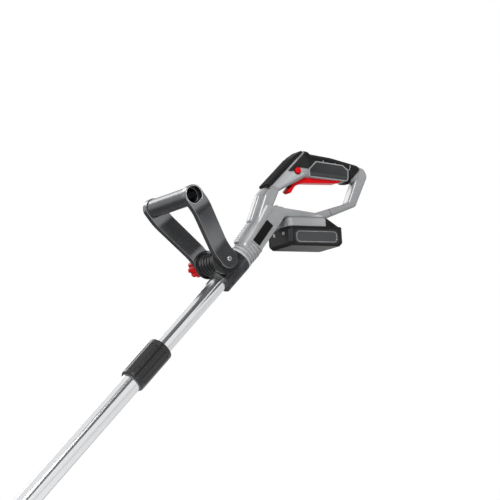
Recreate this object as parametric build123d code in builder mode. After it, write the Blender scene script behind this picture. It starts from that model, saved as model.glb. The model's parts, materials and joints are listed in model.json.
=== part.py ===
from build123d import *
import math
import os

os.makedirs("parts", exist_ok=True)

# A cordless telescopic string trimmer, held as in use.
# +X points back to the user, +Z up, and -Y is the user's left side.
# The origin is the middle of the rear grip. Lengths are millimetres.

# Clearances
running_clearance = 0.05
slide_clearance = 0.3
press_clearance = 0.02

# Shaft: its line, and the upper tube that the handle holds
shaft_angle = 47.5
lip_x = -161.0
lip_z = -160.0
tube_radius = 14.0
tube_wall = 1.5
tube_seat_depth = 34.0
tube_length_below_lip = 430.0
bush_length = 22.0

# Telescopic stage
lower_tube_start = 237.0
lower_tube_length = 501.0
lower_tube_wall = 1.5
lower_tube_gap = 1.0
collar_start = 205.0
collar_length = 76.0
collar_radius = 20.5
collar_groove_count = 14
collar_groove_radius = 2.6
collar_seat_length = 46.0
collar_seat_wall = 1.4
collet_length = 24.0
coiled_lead_radius = 6.5

# Handle shells
shell_wall = 2.5
nose_half_width = 16.2
grip_front_x = -53.0
grip_rear_x = 62.0
grip_front_width = 33.0
grip_rear_width = 24.4
grip_top_front_z = 22.0
grip_top_mid_z = 19.4
grip_top_rear_z = 11.5
grip_bottom_z = -17.5
grip_rear_bottom_z = -13.5
grip_edge_radius = 9.0
bar_half_width = 11.0
branch_half_width = 15.0
branch_ridge_half_width = 8.0
platform_half_width = 19.0
neck_radius = 19.2
spine_width = 37.0
spine_edge_radius = 11.0
spine_bar_width = 23.0
spine_bar_rise = 1.5
lip_flange_radius = 20.6
lip_flange_length = 4.0
neck_rib_count = 4
neck_rib_pitch = 6.0
neck_rib_width = 3.2
neck_rib_radius = 20.0
ridge_half_width = 6.5
ridge_rib_count = 7
ridge_rib_height = 0.8
shell_screw_radius = 1.5
shell_screw_head_radius = 3.0
shell_boss_radius = 4.2

# Overmould
rubber_thickness = 1.5
rubber_groove = 1.6

# Nameplate on each side of the neck
nameplate_length = 43.0
nameplate_width = 14.0
nameplate_thickness = 1.0

# Trigger and lock-off button
trigger_half_width = 9.0
trigger_pivot_x = 24.0
trigger_pivot_z = -11.5
trigger_pin_radius = 2.0
trigger_travel = 4.2
trigger_boss_radius = 4.5
lock_x = -62.0
lock_z = -8.5
lock_radius = 5.0
lock_proud = 3.5
lock_shank_radius = 3.2
lock_head_length = 10.7
switch_length = 36.0
switch_height = 11.0
switch_half_width = 11.3
trigger_spring_radius = 3.5
lead_radius = 2.4

# Battery dock
pack_tilt = 4.0
dock_front_x = -86.0
dock_rear_x = -18.0
dock_top_z = -88.0
dock_height = 15.0
dock_half_width = 30.0
dock_corner_radius = 8.0
dock_wall = 4.0
rail_half_width = 22.0
rail_lip_depth = 4.0
rail_lip_height = 3.4
blade_pitch = 12.0
blade_thickness = 1.0
blade_length = 13.0
blade_height = 3.6
blade_slot_width = 4.0

# Battery pack
pack_front_x = -89.0
pack_rear_x = 10.0
pack_half_width = 36.5
pack_top_z = -104.0
pack_height = 31.0
pack_wall = 2.2
pack_lid_height = 3.6
pack_corner_radius = 7.0
pack_bottom_chamfer = 5.0
pack_tail_half_width = 28.0
cell_radius = 9.1
cell_length = 65.0
cell_count = 5
cell_gap = 0.2
side_plate_length = 80.0
side_plate_height = 21.0
side_plate_thickness = 1.2
latch_length = 12.0
latch_width = 22.0
latch_thickness = 4.6
latch_proud = 1.2
latch_travel = 3.0
latch_spring_radius = 2.5

# Front handle and the clamp that carries it
clamp_start = 1.5
clamp_length = 51.0
clamp_radius = 21.0
hub_distance = 34.0
hub_lift = 25.0
hub_core_radius = 15.5
hub_disc_radius = 20.0
hub_disc_width = 5.5
hub_disc_pitch = 8.8
hub_disc_count = 5
ring_radius = 19.6
ring_flange_radius = 23.0
ring_flange_width = 3.5
bail_lean = 6.2
bail_reach = 119.0
arm_width = 30.0
arm_thickness = 12.0
arm_hub_offset = 36.0
arm_eye_offset = 64.5
arm_bend_start = 23.5
arm_bend_end = 96.0
eye_radius = 16.2
eye_hole_radius = 13.6
bail_grip_radius = 14.6
bail_grip_bore = 12.2
bolt_radius = 3.0
bolt_head_radius = 4.0
bolt_head_height = 2.0
knob_radius = 15.0
knob_length = 25.0
knob_lobe_count = 8
knob_lobe_radius = 3.2
knob_nut_radius = 5.6
knob_nut_length = 6.0
clamp_screw_radius = 2.0
clamp_screw_head_radius = 3.6

# Head: heights are below the tilt axis
tilt_distance = 776.0
head_setback = 10.0
ear_radius = 21.0
ear_thickness = 7.5
knuckle_radius = 19.6
knuckle_half_width = 13.2
tilt_pin_radius = 4.0
tilt_button_radius = 9.0
tilt_button_travel = 3.0
housing_top = 24.0
housing_bottom = 104.0
housing_radius = 39.0
housing_crown_radius = 22.0
housing_wall = 2.5
housing_vent_count = 7
motor_radius = 18.0
motor_length = 57.0
motor_plate_thickness = 3.0
motor_shaft_radius = 2.0
guard_radius = 132.0
guard_plate = 3.0
guard_skirt = 34.0
guard_half_angle = 100.0
guard_hole_radius = 22.0
spool_case_gap = 3.0
spool_case_radius = 44.0
spool_case_wall = 3.0
spool_case_height = 36.0
drive_hub_radius = 7.0
drive_hub_flange_radius = 12.0
spool_radius = 37.0
spool_core_radius = 17.0
spool_flange = 2.0
spool_inner_height = 21.0
bump_travel = 5.0
bump_cap_radius = 38.5
bump_knob_radius = 27.0
bump_knob_height = 11.0
line_radius = 1.0
line_reach = 124.0
line_depth_in_case = 20.0
eyelet_radius = 4.0
hoop_wire_radius = 2.0
hoop_reach = 150.0
hoop_half_width = 88.0
hoop_drop = 94.0


def polar(angle):
    return Vector(math.cos(math.radians(angle)), 0, math.sin(math.radians(angle)))


# Directions along the shaft towards the head, and square to it towards the front handle
lip_point = Vector(lip_x, 0, lip_z)
shaft_down = polar(180 + shaft_angle)
shaft_lift = polar(90 + shaft_angle)


def on_shaft(distance, lift=0, side=0):
    return lip_point + shaft_down * distance + shaft_lift * lift + Vector(0, side, 0)


def shaft_plane(distance):
    return Plane(origin=on_shaft(distance), x_dir=shaft_lift, z_dir=shaft_down)


# Seen from the far side: x runs down the shaft and y away from it
shaft_side_plane = Plane(origin=lip_point, x_dir=shaft_down, z_dir=(0, 1, 0))


def cross_plane(x, z, y=0):
    return Plane(origin=(x, y, z), x_dir=(1, 0, 0), z_dir=(0, 1, 0))


# The dock hangs from a line that rises to the back
def dock_line(x):
    return dock_top_z + (x - dock_front_x) * math.tan(math.radians(pack_tilt))


def disc(plane, outer, inner=0):
    with BuildSketch(plane) as face:
        Circle(outer)
        if inner > 0:
            Circle(inner, mode=Mode.SUBTRACT)
    return face.sketch


def outline(points, radii, grow=0):
    with BuildSketch(Plane.XZ) as face:
        with BuildLine():
            FilletPolyline(*points, radius=radii, close=True)
        make_face()
        if grow != 0:
            offset(amount=grow)
    return face.sketch


def prism(points, radii, half_width, edge_radius, grow=0):
    with BuildPart() as form:
        extrude(outline(points, radii, grow), amount=half_width + grow, both=True)
        fillet(form.faces().filter_by(Axis.Y).edges(), edge_radius + grow)
    return form.part


def finish(part, name):
    part.label = name
    export_step(part, "parts/" + name + ".step")


# Rear handle, as overlapping forms. Each grows or shrinks by one amount,
# so the cavity and the overmould follow the outside.
slope_foot = (-119, -41)
slope_head = (-66, 15)
nose_low_front = (-96, -46)
branch_knee = (-130, -54)
branch_foot = (-147, -102)
opening_front = (-105.5, -71)
opening_low = (-25, -75)
bar_inner_corner = (37.5, -51)
bar_outer_corner = (53, -55.5)


def grip_form(grow):
    points = (
        (grip_front_x, grip_top_front_z), (5, grip_top_mid_z), (grip_rear_x, grip_top_rear_z),
        (grip_rear_x, grip_rear_bottom_z), (38, grip_bottom_z), (grip_front_x, grip_bottom_z),
    )
    front = grip_front_width / 2 + grow
    rear = grip_rear_width / 2 + grow
    with BuildPart() as form:
        extrude(outline(points, (10, 100, 10, 10, 40, 10), grow), amount=front, both=True)
        # The sides draw in towards the back
        with BuildSketch(Plane.XY.offset(grip_bottom_z - 10)):
            Polygon(
                (grip_front_x - grow, -front), (grip_rear_x + grow, -rear),
                (grip_rear_x + grow, rear), (grip_front_x - grow, front), align=None,
            )
        extrude(amount=60, mode=Mode.INTERSECT)
        sides = form.faces().filter_by(lambda face: abs(face.normal_at().Y) > 0.9)
        fillet(sides.edges(), grip_edge_radius + grow)
    return form.part


def nose_form(grow):
    points = (
        slope_foot, slope_head, (-53, 24.5), (-42, 24), (-33, 17),
        (-33, -8), (-46, grip_bottom_z), nose_low_front,
    )
    return prism(points, (6, 14, 8, 8, 6, 6, 8, 6), nose_half_width, 5.5, grow)


def branch_form(grow):
    points = (
        (-108, -38), (-121, -53), (-138, -102), (-112, -92),
        opening_front, (-95, -47), (-98, -34),
    )
    return prism(points, (5, 6, 5, 5, 6, 5, 5), branch_half_width, 4.5, grow)


def branch_ridge_form(grow):
    points = ((-103, -38), slope_foot, branch_knee, branch_foot, (-125, -100), (-106, -54))
    return prism(points, (5, 8, 10, 5, 5, 5), branch_ridge_half_width, 4, grow)


def platform_form(grow):
    points = ((-112, -71), opening_low, (-12, -77.5), (-15, dock_line(-15)), (-108, dock_line(-108)))
    return prism(points, (4, 4, 1.5, 1.5, 4), platform_half_width, 3, grow)


def bar_form(grow):
    points = (
        (-36, -77), bar_inner_corner, (51, -15), (46, 4), (56, 12),
        (69, 9), (76, -3), bar_outer_corner, (-8, dock_line(-8)), (-30, dock_line(-30)),
    )
    return prism(points, (4, 7, 8, 5, 6, 9, 9, 7, 5, 5), bar_half_width, 4.5, grow)


def spine_form(grow):
    foot_left = on_shaft(-10, 17.5)
    foot_right = on_shaft(-6, -16.5)
    points = (
        (foot_left.X, foot_left.Z), (-138, -97), (-119, -62), (-74, -62),
        (-121.5, -133), (foot_right.X, foot_right.Z),
    )
    with BuildPart() as form:
        extrude(outline(points, (12, 40, 12, 12, 80, 12), grow), amount=spine_width / 2 + grow, both=True)
        fillet(form.faces().filter_by(Axis.Y).edges(), spine_edge_radius + grow)
        extrude(disc(shaft_plane(grow), neck_radius + grow), amount=-tube_seat_depth - 3)
    return form.part


def handle_form(grow):
    floor = opening_front[1] + grow
    with BuildPart() as form:
        add(spine_form(grow))
        # The top of the spine is flush with the floor of the hand opening
        extrude(
            outline(((-150, floor), (-150, -20), (-40, -20), (-40, floor)), 0),
            amount=60, both=True, mode=Mode.SUBTRACT,
        )
        add(grip_form(grow))
        add(nose_form(grow))
        add(branch_form(grow))
        add(branch_ridge_form(grow))
        add(platform_form(grow))
        add(bar_form(grow))
    return form.part


handle_outside = handle_form(0)
handle_inside = handle_form(-shell_wall)

# Trigger outline, from the pivot end along the finger face to the hooked tip
trigger_points = (
    (29.5, -8), (29.5, -15), (17, -20.5), (-47, -26), (-62, -32.5), (-70, -45.5),
    (-76.5, -41.5), (-57, -19), (-40, -8),
)
trigger_radii = (2, 2, 20, 22, 14, 2, 2, 10, 2)
trigger_pivot = Axis((trigger_pivot_x, 0, trigger_pivot_z), (0, 1, 0))
trigger_stub_reach = trigger_half_width + 2.2
trigger_slot_half = trigger_half_width + slide_clearance * 2


def turned_trigger(angle):
    return outline(trigger_points, trigger_radii, slide_clearance * 2).rotate(trigger_pivot, angle)


# Shell screws go in from the right side: place, and half the width of the handle there
shell_screws = (
    (-104, -50, branch_half_width),
    (-112, -116, spine_width / 2),
    (-40, -79.6, platform_half_width),
    (45, -54, bar_half_width),
    (64, -3, bar_half_width),
)
screw_head_depth = 3.4
screw_tip_cover = 3.0

# The neck's flat bar carries the nameplate
bar_angle = shaft_angle + 6.5
bar_middle = Vector(-117, 0, -107)
bar_length = 78.0
nameplate_middle = Vector(-128.5, 0, -117)
ridge_angle = shaft_angle + 6
ridge_middle = Vector(-152.8, 0, -117.4)
ridge_length = 42.0
ridge_height = 7.0


def slanted_plane(centre, side):
    return Plane(origin=centre + Vector(0, side, 0), x_dir=polar(bar_angle), z_dir=(0, -1, 0))


# Leads inside the handle: dock to switch on the left, switch to shaft on the right
dock_lead_points = (
    (-76, -5, dock_line(-76) + 2.1), (-84, -5, -78), (-98, -5, -76.5), (-112, -5, -70), (-114, -5, -52),
    (-102, -5, -32), (-78, -5, -5), (-58, -5, 8), (-40, -5, 8),
)
shaft_lead_points = (
    (-40, 5, 8), (-58, 5, 8), (-78, 5, -5), (-102, 5, -32), (-115, 5, -55), (-122, 5, -86),
    (-134, 2, -116), (-148, 0, -145.5), (-162, 0, -161),
)


def lead_radii(points):
    radii = []
    for before, here, after in zip(points, points[1:], points[2:]):
        into = Vector(here) - Vector(before)
        away = Vector(after) - Vector(here)
        turn = math.radians(into.get_angle(away))
        radii.append(0.45 * min(into.length, away.length) / math.tan(turn / 2))
    return radii


def lead_forms(radius):
    with BuildPart() as forms:
        for points in (dock_lead_points, shaft_lead_points):
            with BuildLine() as route:
                FilletPolyline(*points, radius=lead_radii(points))
            with BuildSketch(Plane(origin=route.line @ 0, z_dir=route.line % 0)):
                Circle(radius)
            sweep(path=route.line)
    return forms.part


with BuildPart() as handle_leads:
    add(lead_forms(lead_radius))
finish(handle_leads.part, "handle_leads")
for points in (dock_lead_points, shaft_lead_points):
    print("lead bends", [round(radius) for radius in lead_radii(points)])

# Screw bosses and the trigger's bosses, kept inside the outer form
with BuildPart() as handle_bosses:
    for x, z, half_width in shell_screws:
        extrude(disc(cross_plane(x, z), shell_boss_radius), amount=half_width, both=True)
    for side in (-1, 1):
        extrude(
            disc(
                cross_plane(trigger_pivot_x, trigger_pivot_z, side * trigger_slot_half),
                trigger_boss_radius,
            ),
            amount=side * grip_front_width / 2,
        )
    add(handle_outside, mode=Mode.INTERSECT)

# Everything that is cut out of the shells
with BuildPart() as handle_cuts:
    # Slot that the trigger swings in, over its whole travel
    for share in (0, 0.5, 1):
        extrude(turned_trigger(trigger_travel * share), amount=trigger_slot_half, both=True, clean=False)
    extrude(
        disc(cross_plane(trigger_pivot_x, trigger_pivot_z), trigger_pin_radius + running_clearance),
        amount=trigger_stub_reach + slide_clearance, both=True, clean=False,
    )
    extrude(
        disc(cross_plane(lock_x, lock_z, -nose_half_width - 5), lock_radius + slide_clearance),
        amount=nose_half_width + 5, clean=False,
    )
    extrude(
        disc(cross_plane(lock_x, lock_z), lock_shank_radius + slide_clearance),
        amount=nose_half_width + 5, clean=False,
    )
    for x, z, half_width in shell_screws:
        extrude(
            disc(cross_plane(x, z, screw_tip_cover - half_width), shell_screw_radius + running_clearance),
            amount=2 * half_width, clean=False,
        )
        extrude(
            disc(cross_plane(x, z, half_width - screw_head_depth), shell_screw_head_radius + slide_clearance),
            amount=screw_head_depth + 4, clean=False,
        )
    extrude(disc(shaft_plane(1), tube_radius + running_clearance), amount=-tube_seat_depth - 1, clean=False)
    extrude(disc(shaft_plane(1), tube_radius - tube_wall), amount=-tube_seat_depth - 8, clean=False)
    add(lead_forms(lead_radius + slide_clearance), clean=False)

# Skin that the rubber fills, round the grip and the nose
with BuildPart() as rubber_skin:
    add(grip_form(rubber_thickness))
    add(nose_form(rubber_thickness))
    add(handle_outside, mode=Mode.SUBTRACT)

side_pad_points = ((-40, -4.5), (-27, 9), (24, 8), (34, 1.5), (34, -14.5), (-38, -14.5))

# The shells rise in a line round each side pad, flush with the rubber
with BuildPart() as pad_lines:
    add(rubber_skin.part)
    extrude(outline(side_pad_points, 2, rubber_groove), amount=40, both=True, mode=Mode.INTERSECT)
    extrude(outline(side_pad_points, 2), amount=40, both=True, mode=Mode.SUBTRACT)

with BuildPart() as handle_whole:
    add(handle_outside)
    add(pad_lines.part, clean=False)
    # Flat bars on the sides of the neck
    with BuildSketch(slanted_plane(bar_middle, spine_width / 2 + spine_bar_rise)):
        RectangleRounded(bar_length, spine_bar_width, 2)
    extrude(amount=spine_width + 2 * spine_bar_rise, clean=False)
    # Lip, and ribs around the neck above it
    extrude(disc(shaft_plane(0), lip_flange_radius), amount=-lip_flange_length, clean=False)
    for rib in range(neck_rib_count):
        rib_start = -lip_flange_length - neck_rib_pitch * (rib + 0.5)
        extrude(disc(shaft_plane(rib_start), neck_rib_radius), amount=-neck_rib_width, clean=False)
    # Serrated ridge along the top of the neck
    ridge_plane = Plane(origin=ridge_middle, x_dir=polar(ridge_angle), z_dir=(0, -1, 0))
    with BuildSketch(ridge_plane):
        RectangleRounded(ridge_length, ridge_height, 2.5)
        with GridLocations(ridge_length / (ridge_rib_count + 1), 1, ridge_rib_count, 1):
            with Locations((0, ridge_height / 2)):
                RectangleRounded(2.6, 2 * ridge_rib_height, 0.6)
    extrude(amount=ridge_half_width, both=True, clean=False)
    add(handle_inside, mode=Mode.SUBTRACT, clean=False)
    add(handle_bosses.part, clean=False)
    # Sleeve for the tube
    extrude(disc(shaft_plane(0), neck_radius), amount=-tube_seat_depth - 3, clean=False)
    add(handle_cuts.part, mode=Mode.SUBTRACT)

with BuildPart() as handle_shell_left:
    add(handle_whole.part)
    split(bisect_by=Plane.XZ, keep=Keep.TOP)
finish(handle_shell_left.part, "handle_shell_left")

with BuildPart() as handle_shell_right:
    add(handle_whole.part)
    split(bisect_by=Plane.XZ, keep=Keep.BOTTOM)
finish(handle_shell_right.part, "handle_shell_right")

with BuildPart() as handle_screws:
    for x, z, half_width in shell_screws:
        head_seat = half_width - screw_head_depth
        shank = 2 * half_width - screw_head_depth - screw_tip_cover - slide_clearance
        extrude(disc(cross_plane(x, z, head_seat), shell_screw_head_radius), amount=2.2)
        extrude(disc(cross_plane(x, z, head_seat), shell_screw_radius), amount=-shank)
finish(handle_screws.part, "handle_screws")

# Overmoulded rubber: the skin, cut into patches
top_patch_points = (
    (-80, -11), (-60.5, 9.8), (-49.5, 21.5), (-44, 32), (60, 24), (64, 12), (42, -12), (42, -21),
    (31.5, -21), (31.5, -12.5), (-36, -12.5), (-40, -3), (-65, -2.9), (-70.2, -10.5),
)
front_pad_points = ((-128, -50), (-62, 34), (-49, 34), (-53, 22.5), (-63, 12.3), (-114, -41.5), (-117, -46))

with BuildPart() as grip_rubber:
    add(rubber_skin.part)
    extrude(outline(top_patch_points, 0.5), amount=40, both=True, mode=Mode.INTERSECT)
    extrude(outline(side_pad_points, 2, rubber_groove), amount=40, both=True, mode=Mode.SUBTRACT)
finish(grip_rubber.part, "grip_rubber")

with BuildPart() as side_grip_pads:
    add(rubber_skin.part)
    extrude(outline(side_pad_points, 2), amount=40, both=True, mode=Mode.INTERSECT)
finish(side_grip_pads.part, "side_grip_pads")

with BuildPart() as front_grip_pad:
    add(rubber_skin.part)
    extrude(outline(front_pad_points, 0.5), amount=40, both=True, mode=Mode.INTERSECT)
finish(front_grip_pad.part, "front_grip_pad")


# Nameplates, one on each flat bar of the neck, left bare
with BuildPart() as nameplates:
    plate_seat = spine_width / 2 + spine_bar_rise
    for side in (-1, 1):
        with BuildSketch(slanted_plane(nameplate_middle, side * plate_seat)):
            RectangleRounded(nameplate_length, nameplate_width, 1)
        extrude(amount=-side * nameplate_thickness)
finish(nameplates.part, "nameplates")

# Trigger, with its pivot stubs moulded on
with BuildPart() as trigger:
    extrude(outline(trigger_points, trigger_radii), amount=trigger_half_width, both=True)
    fillet(trigger.faces().filter_by(Axis.Y).edges(), 1.5)
    extrude(
        disc(cross_plane(trigger_pivot_x, trigger_pivot_z), trigger_pin_radius),
        amount=trigger_stub_reach, both=True,
    )
finish(trigger.part, "trigger")

# Switch in the grip, and the spring that pushes the trigger back
trigger_top_z = trigger_points[0][1]
switch_middle_x = -22
spring_length = 8.0
switch_bottom_z = trigger_top_z + spring_length

with BuildPart() as trigger_switch:
    with BuildSketch(Plane.XY.offset(switch_bottom_z)):
        with Locations((switch_middle_x, 0)):
            RectangleRounded(switch_length, 2 * switch_half_width, 2)
    extrude(amount=switch_height)
    chamfer(trigger_switch.faces().sort_by(Axis.Z)[-1].edges(), 1.5)
finish(trigger_switch.part, "trigger_switch")

with BuildPart() as trigger_spring:
    with BuildSketch(Plane.XY.offset(trigger_top_z)):
        with Locations((switch_middle_x, 0)):
            Circle(trigger_spring_radius)
            Circle(trigger_spring_radius - 1, mode=Mode.SUBTRACT)
    extrude(amount=spring_length)
finish(trigger_spring.part, "trigger_spring")

# Lock-off button: a cross bolt through the nose, with its spring on the shank
lock_left_y = -nose_half_width - lock_proud
lock_right_y = nose_half_width + 0.2
lock_shoulder_y = lock_left_y + lock_head_length
lock_seat_y = nose_half_width - shell_wall

with BuildPart() as lock_button:
    extrude(disc(cross_plane(lock_x, lock_z, lock_left_y), lock_radius), amount=lock_head_length)
    fillet(lock_button.faces().sort_by(Axis.Y)[0].edges(), 1.2)
    extrude(
        disc(cross_plane(lock_x, lock_z, lock_shoulder_y), lock_shank_radius),
        amount=lock_right_y - lock_shoulder_y,
    )
finish(lock_button.part, "lock_button")

with BuildPart() as lock_spring:
    extrude(
        disc(
            cross_plane(lock_x, lock_z, lock_shoulder_y),
            lock_radius - 0.2,
            lock_shank_radius + slide_clearance,
        ),
        amount=lock_seat_y - lock_shoulder_y,
    )
finish(lock_spring.part, "lock_spring")


# The dock and the pack are drawn level and then tilted together
pack_seat = Axis((dock_front_x, 0, dock_top_z), (0, 1, 0))


def finish_tilted(part, name):
    finish(part.rotate(pack_seat, -pack_tilt), name)


# Battery dock under the handle: a shoe with two rail lips, open to the back
dock_bottom_z = dock_top_z - dock_height
channel_top_z = dock_top_z - dock_wall + 0.5
channel_front_x = dock_front_x + dock_wall
rail_lip_z = dock_bottom_z + 2.5
contact_block_length = 4.4

with BuildPart() as battery_dock:
    with BuildSketch(Plane.XY.offset(dock_bottom_z)):
        with Locations(((dock_front_x + dock_rear_x) / 2, 0)):
            RectangleRounded(dock_rear_x - dock_front_x, 2 * dock_half_width, dock_corner_radius)
        # The back is square
        with Locations((dock_rear_x, 0)):
            Rectangle(dock_corner_radius * 2, 2 * dock_half_width, align=(Align.MAX, Align.CENTER))
    extrude(amount=dock_height)
    top_edges = battery_dock.faces().sort_by(Axis.Z)[-1].edges()
    chamfer(top_edges, 3)
    with BuildSketch(Plane.XY.offset(dock_bottom_z)):
        with Locations((channel_front_x, 0)):
            Rectangle(
                dock_rear_x - channel_front_x + 1, 2 * (rail_half_width + slide_clearance),
                align=(Align.MIN, Align.CENTER),
            )
    extrude(amount=channel_top_z - dock_bottom_z, mode=Mode.SUBTRACT)
    with BuildSketch(Plane.XY.offset(rail_lip_z)):
        for side in (-1, 1):
            with Locations(
                (channel_front_x, side * (rail_half_width + slide_clearance - rail_lip_depth / 2))
            ):
                Rectangle(dock_rear_x - channel_front_x, rail_lip_depth, align=(Align.MIN, Align.CENTER))
    extrude(amount=rail_lip_height)
    # Contact block on the front wall of the channel
    with BuildSketch(Plane.YZ.offset(channel_front_x)):
        with Locations((0, channel_top_z)):
            Rectangle(2 * blade_pitch + 12, 7, align=(Align.CENTER, Align.MAX))
    extrude(amount=contact_block_length)
finish_tilted(battery_dock.part, "battery_dock")

# Three contact blades on the block
tower_front_x = channel_front_x + contact_block_length + slide_clearance * 2
tower_top_z = channel_top_z - slide_clearance * 2
slot_floor_z = tower_top_z - blade_height - 1.4
blade_top_z = channel_top_z - 0.8

with BuildPart() as contact_blades:
    with BuildSketch(Plane.YZ.offset(channel_front_x + contact_block_length)):
        with GridLocations(blade_pitch, 1, 3, 1):
            with Locations((0, blade_top_z)):
                Rectangle(blade_thickness, blade_height, align=(Align.CENTER, Align.MAX))
    extrude(amount=blade_length)
finish_tilted(contact_blades.part, "contact_blades")

# Battery pack: lid with the rail tower and the sloping tail, tub, cells and cradle
pack_bottom_z = pack_top_z - pack_height
lid_seam_z = pack_top_z - pack_lid_height
pack_length = pack_rear_x - pack_front_x
pack_middle_x = (pack_front_x + pack_rear_x) / 2
tail_front_x = dock_rear_x + 0.6
tail_top_z = dock_top_z - 1.5
slope_start = Vector(-14, 0, tail_top_z)
slope_end = Vector(pack_rear_x - 1, 0, pack_top_z - 1)
slope_run = (slope_end - slope_start).normalized()
slope_out = Vector(-slope_run.Z, 0, slope_run.X)
latch_plane = Plane(origin=(slope_start + slope_end) * 0.5, x_dir=slope_run, z_dir=slope_out)
latch_pocket_depth = latch_thickness - latch_proud + latch_travel + slide_clearance


def pack_plan(level, inset=0):
    with BuildSketch(Plane.XY.offset(level)) as plan:
        with Locations((pack_middle_x, 0)):
            RectangleRounded(
                pack_length - 2 * inset, 2 * (pack_half_width - inset), pack_corner_radius - inset,
            )
    return plan.sketch


with BuildPart() as battery_lid:
    extrude(pack_plan(lid_seam_z), amount=pack_lid_height)
    fillet(battery_lid.faces().sort_by(Axis.Z)[-1].edges(), 2)
    with BuildSketch(Plane.XY.offset(pack_top_z - 1)):
        with Locations((tower_front_x, 0)):
            Rectangle(tail_front_x - tower_front_x + 2, 2 * rail_half_width, align=(Align.MIN, Align.CENTER))
    extrude(amount=tower_top_z - pack_top_z + 1)
    # Grooves for the rail lips
    with BuildSketch(Plane.XY.offset(rail_lip_z - slide_clearance)):
        for side in (-1, 1):
            with Locations((tower_front_x - 1, side * (rail_half_width + slide_clearance))):
                Rectangle(
                    tail_front_x - tower_front_x + 1, 2 * (rail_lip_depth + slide_clearance),
                    align=(Align.MIN, Align.CENTER),
                )
    extrude(amount=rail_lip_height + 2 * slide_clearance, mode=Mode.SUBTRACT)
    # Slots for the contact blades
    with BuildSketch(Plane.XY.offset(slot_floor_z)):
        with GridLocations(1, blade_pitch, 1, 3):
            with Locations((tower_front_x - 1, 0)):
                Rectangle(blade_length + 4, blade_slot_width, align=(Align.MIN, Align.CENTER))
    extrude(amount=10, mode=Mode.SUBTRACT)
    # Tail behind the dock, sloping down to the back
    tail_points = (
        (tail_front_x, pack_top_z - 2), (tail_front_x, tail_top_z), (slope_start.X, slope_start.Z),
        (slope_end.X, slope_end.Z),
    )
    extrude(outline(tail_points, 0), amount=pack_tail_half_width, both=True)
    with BuildSketch(latch_plane):
        RectangleRounded(latch_length + 2 * slide_clearance, latch_width + 2 * slide_clearance, 1.5)
    extrude(amount=-latch_pocket_depth, mode=Mode.SUBTRACT)
finish_tilted(battery_lid.part, "battery_lid")

plate_centre_x = pack_middle_x - 1
plate_centre_z = (lid_seam_z + pack_bottom_z) / 2 + 0.5


def side_plate_face(level, grow=0):
    plate_plane = Plane(origin=(plate_centre_x, level, plate_centre_z), x_dir=(1, 0, 0), z_dir=(0, -1, 0))
    with BuildSketch(plate_plane) as face:
        RectangleRounded(side_plate_length + 2 * grow, side_plate_height + 2 * grow, 8 + grow)
    return face.sketch


# The inside of the tub keeps the wall's thickness along the bottom chamfer too
def tub_form(inset):
    with BuildPart() as form:
        extrude(pack_plan(pack_bottom_z + inset, inset), amount=lid_seam_z - pack_bottom_z - inset)
        chamfer(form.faces().sort_by(Axis.Z)[0].edges(), pack_bottom_chamfer - inset * (2 - math.sqrt(2)))
    return form.part


with BuildPart() as battery_tub:
    add(tub_form(0))
    add(tub_form(pack_wall), mode=Mode.SUBTRACT)
    for side in (-1, 1):
        extrude(
            side_plate_face(side * pack_half_width, press_clearance),
            amount=side * side_plate_thickness, mode=Mode.SUBTRACT,
        )
finish_tilted(battery_tub.part, "battery_tub")

with BuildPart() as battery_side_plates:
    for side in (-1, 1):
        extrude(side_plate_face(side * pack_half_width), amount=side * side_plate_thickness)
finish_tilted(battery_side_plates.part, "battery_side_plates")

cell_pitch = 2 * cell_radius + cell_gap
cell_z = lid_seam_z - cell_radius - 1.5
with BuildPart() as battery_cells:
    with BuildSketch(Plane.XZ.offset(-cell_length / 2)):
        with Locations((pack_middle_x, cell_z)):
            with GridLocations(cell_pitch, 1, cell_count, 1):
                Circle(cell_radius)
    extrude(amount=cell_length)
finish_tilted(battery_cells.part, "battery_cells")

cradle_bottom_z = pack_bottom_z + pack_wall
with BuildPart() as cell_cradle:
    with BuildSketch(Plane.XY.offset(cradle_bottom_z)):
        with Locations((pack_middle_x, 0)):
            RectangleRounded(cell_pitch * cell_count - 8, cell_length - 6, 6)
    extrude(amount=cell_z - cradle_bottom_z)
    with BuildSketch(Plane.XZ.offset(-cell_length / 2)):
        with Locations((pack_middle_x, cell_z)):
            with GridLocations(cell_pitch, 1, cell_count, 1):
                Circle(cell_radius + running_clearance)
    extrude(amount=cell_length, mode=Mode.SUBTRACT)
finish_tilted(cell_cradle.part, "cell_cradle")

with BuildPart() as battery_terminals:
    leaf_thickness = 0.6
    leaf_offset = blade_slot_width / 2 - leaf_thickness / 2
    with BuildSketch(Plane.XY.offset(slot_floor_z)):
        with GridLocations(1, blade_pitch, 1, 3):
            with GridLocations(1, 2 * leaf_offset, 1, 2):
                with Locations((tower_front_x + 2, 0)):
                    Rectangle(blade_length - 1, leaf_thickness, align=(Align.MIN, Align.CENTER))
    extrude(amount=blade_height)
finish_tilted(battery_terminals.part, "battery_terminals")

with BuildPart() as battery_latch:
    with BuildSketch(latch_plane.offset(latch_proud)):
        RectangleRounded(latch_length, latch_width, 1.2)
    extrude(amount=-latch_thickness)
    fillet(battery_latch.faces().sort_by(Axis(latch_plane.origin, latch_plane.z_dir))[-1].edges(), 0.8)
finish_tilted(battery_latch.part, "battery_latch")

with BuildPart() as latch_spring:
    with BuildSketch(latch_plane.offset(latch_proud - latch_thickness)):
        with GridLocations(1, latch_width / 2, 1, 2):
            Circle(latch_spring_radius)
    extrude(amount=latch_thickness - latch_proud - latch_pocket_depth)
finish_tilted(latch_spring.part, "latch_spring")


# Front handle: a clamp on the tube, and a bail that swings on its hub
hub_point = on_shaft(hub_distance, hub_lift)
bail_angle = 90 + shaft_angle - bail_lean
bail_run = polar(bail_angle)
eye_point = hub_point + bail_run * bail_reach
hub_half_width = arm_hub_offset - arm_thickness / 2
disc_stack_half = (hub_disc_pitch * (hub_disc_count - 1) + hub_disc_width) / 2


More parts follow.
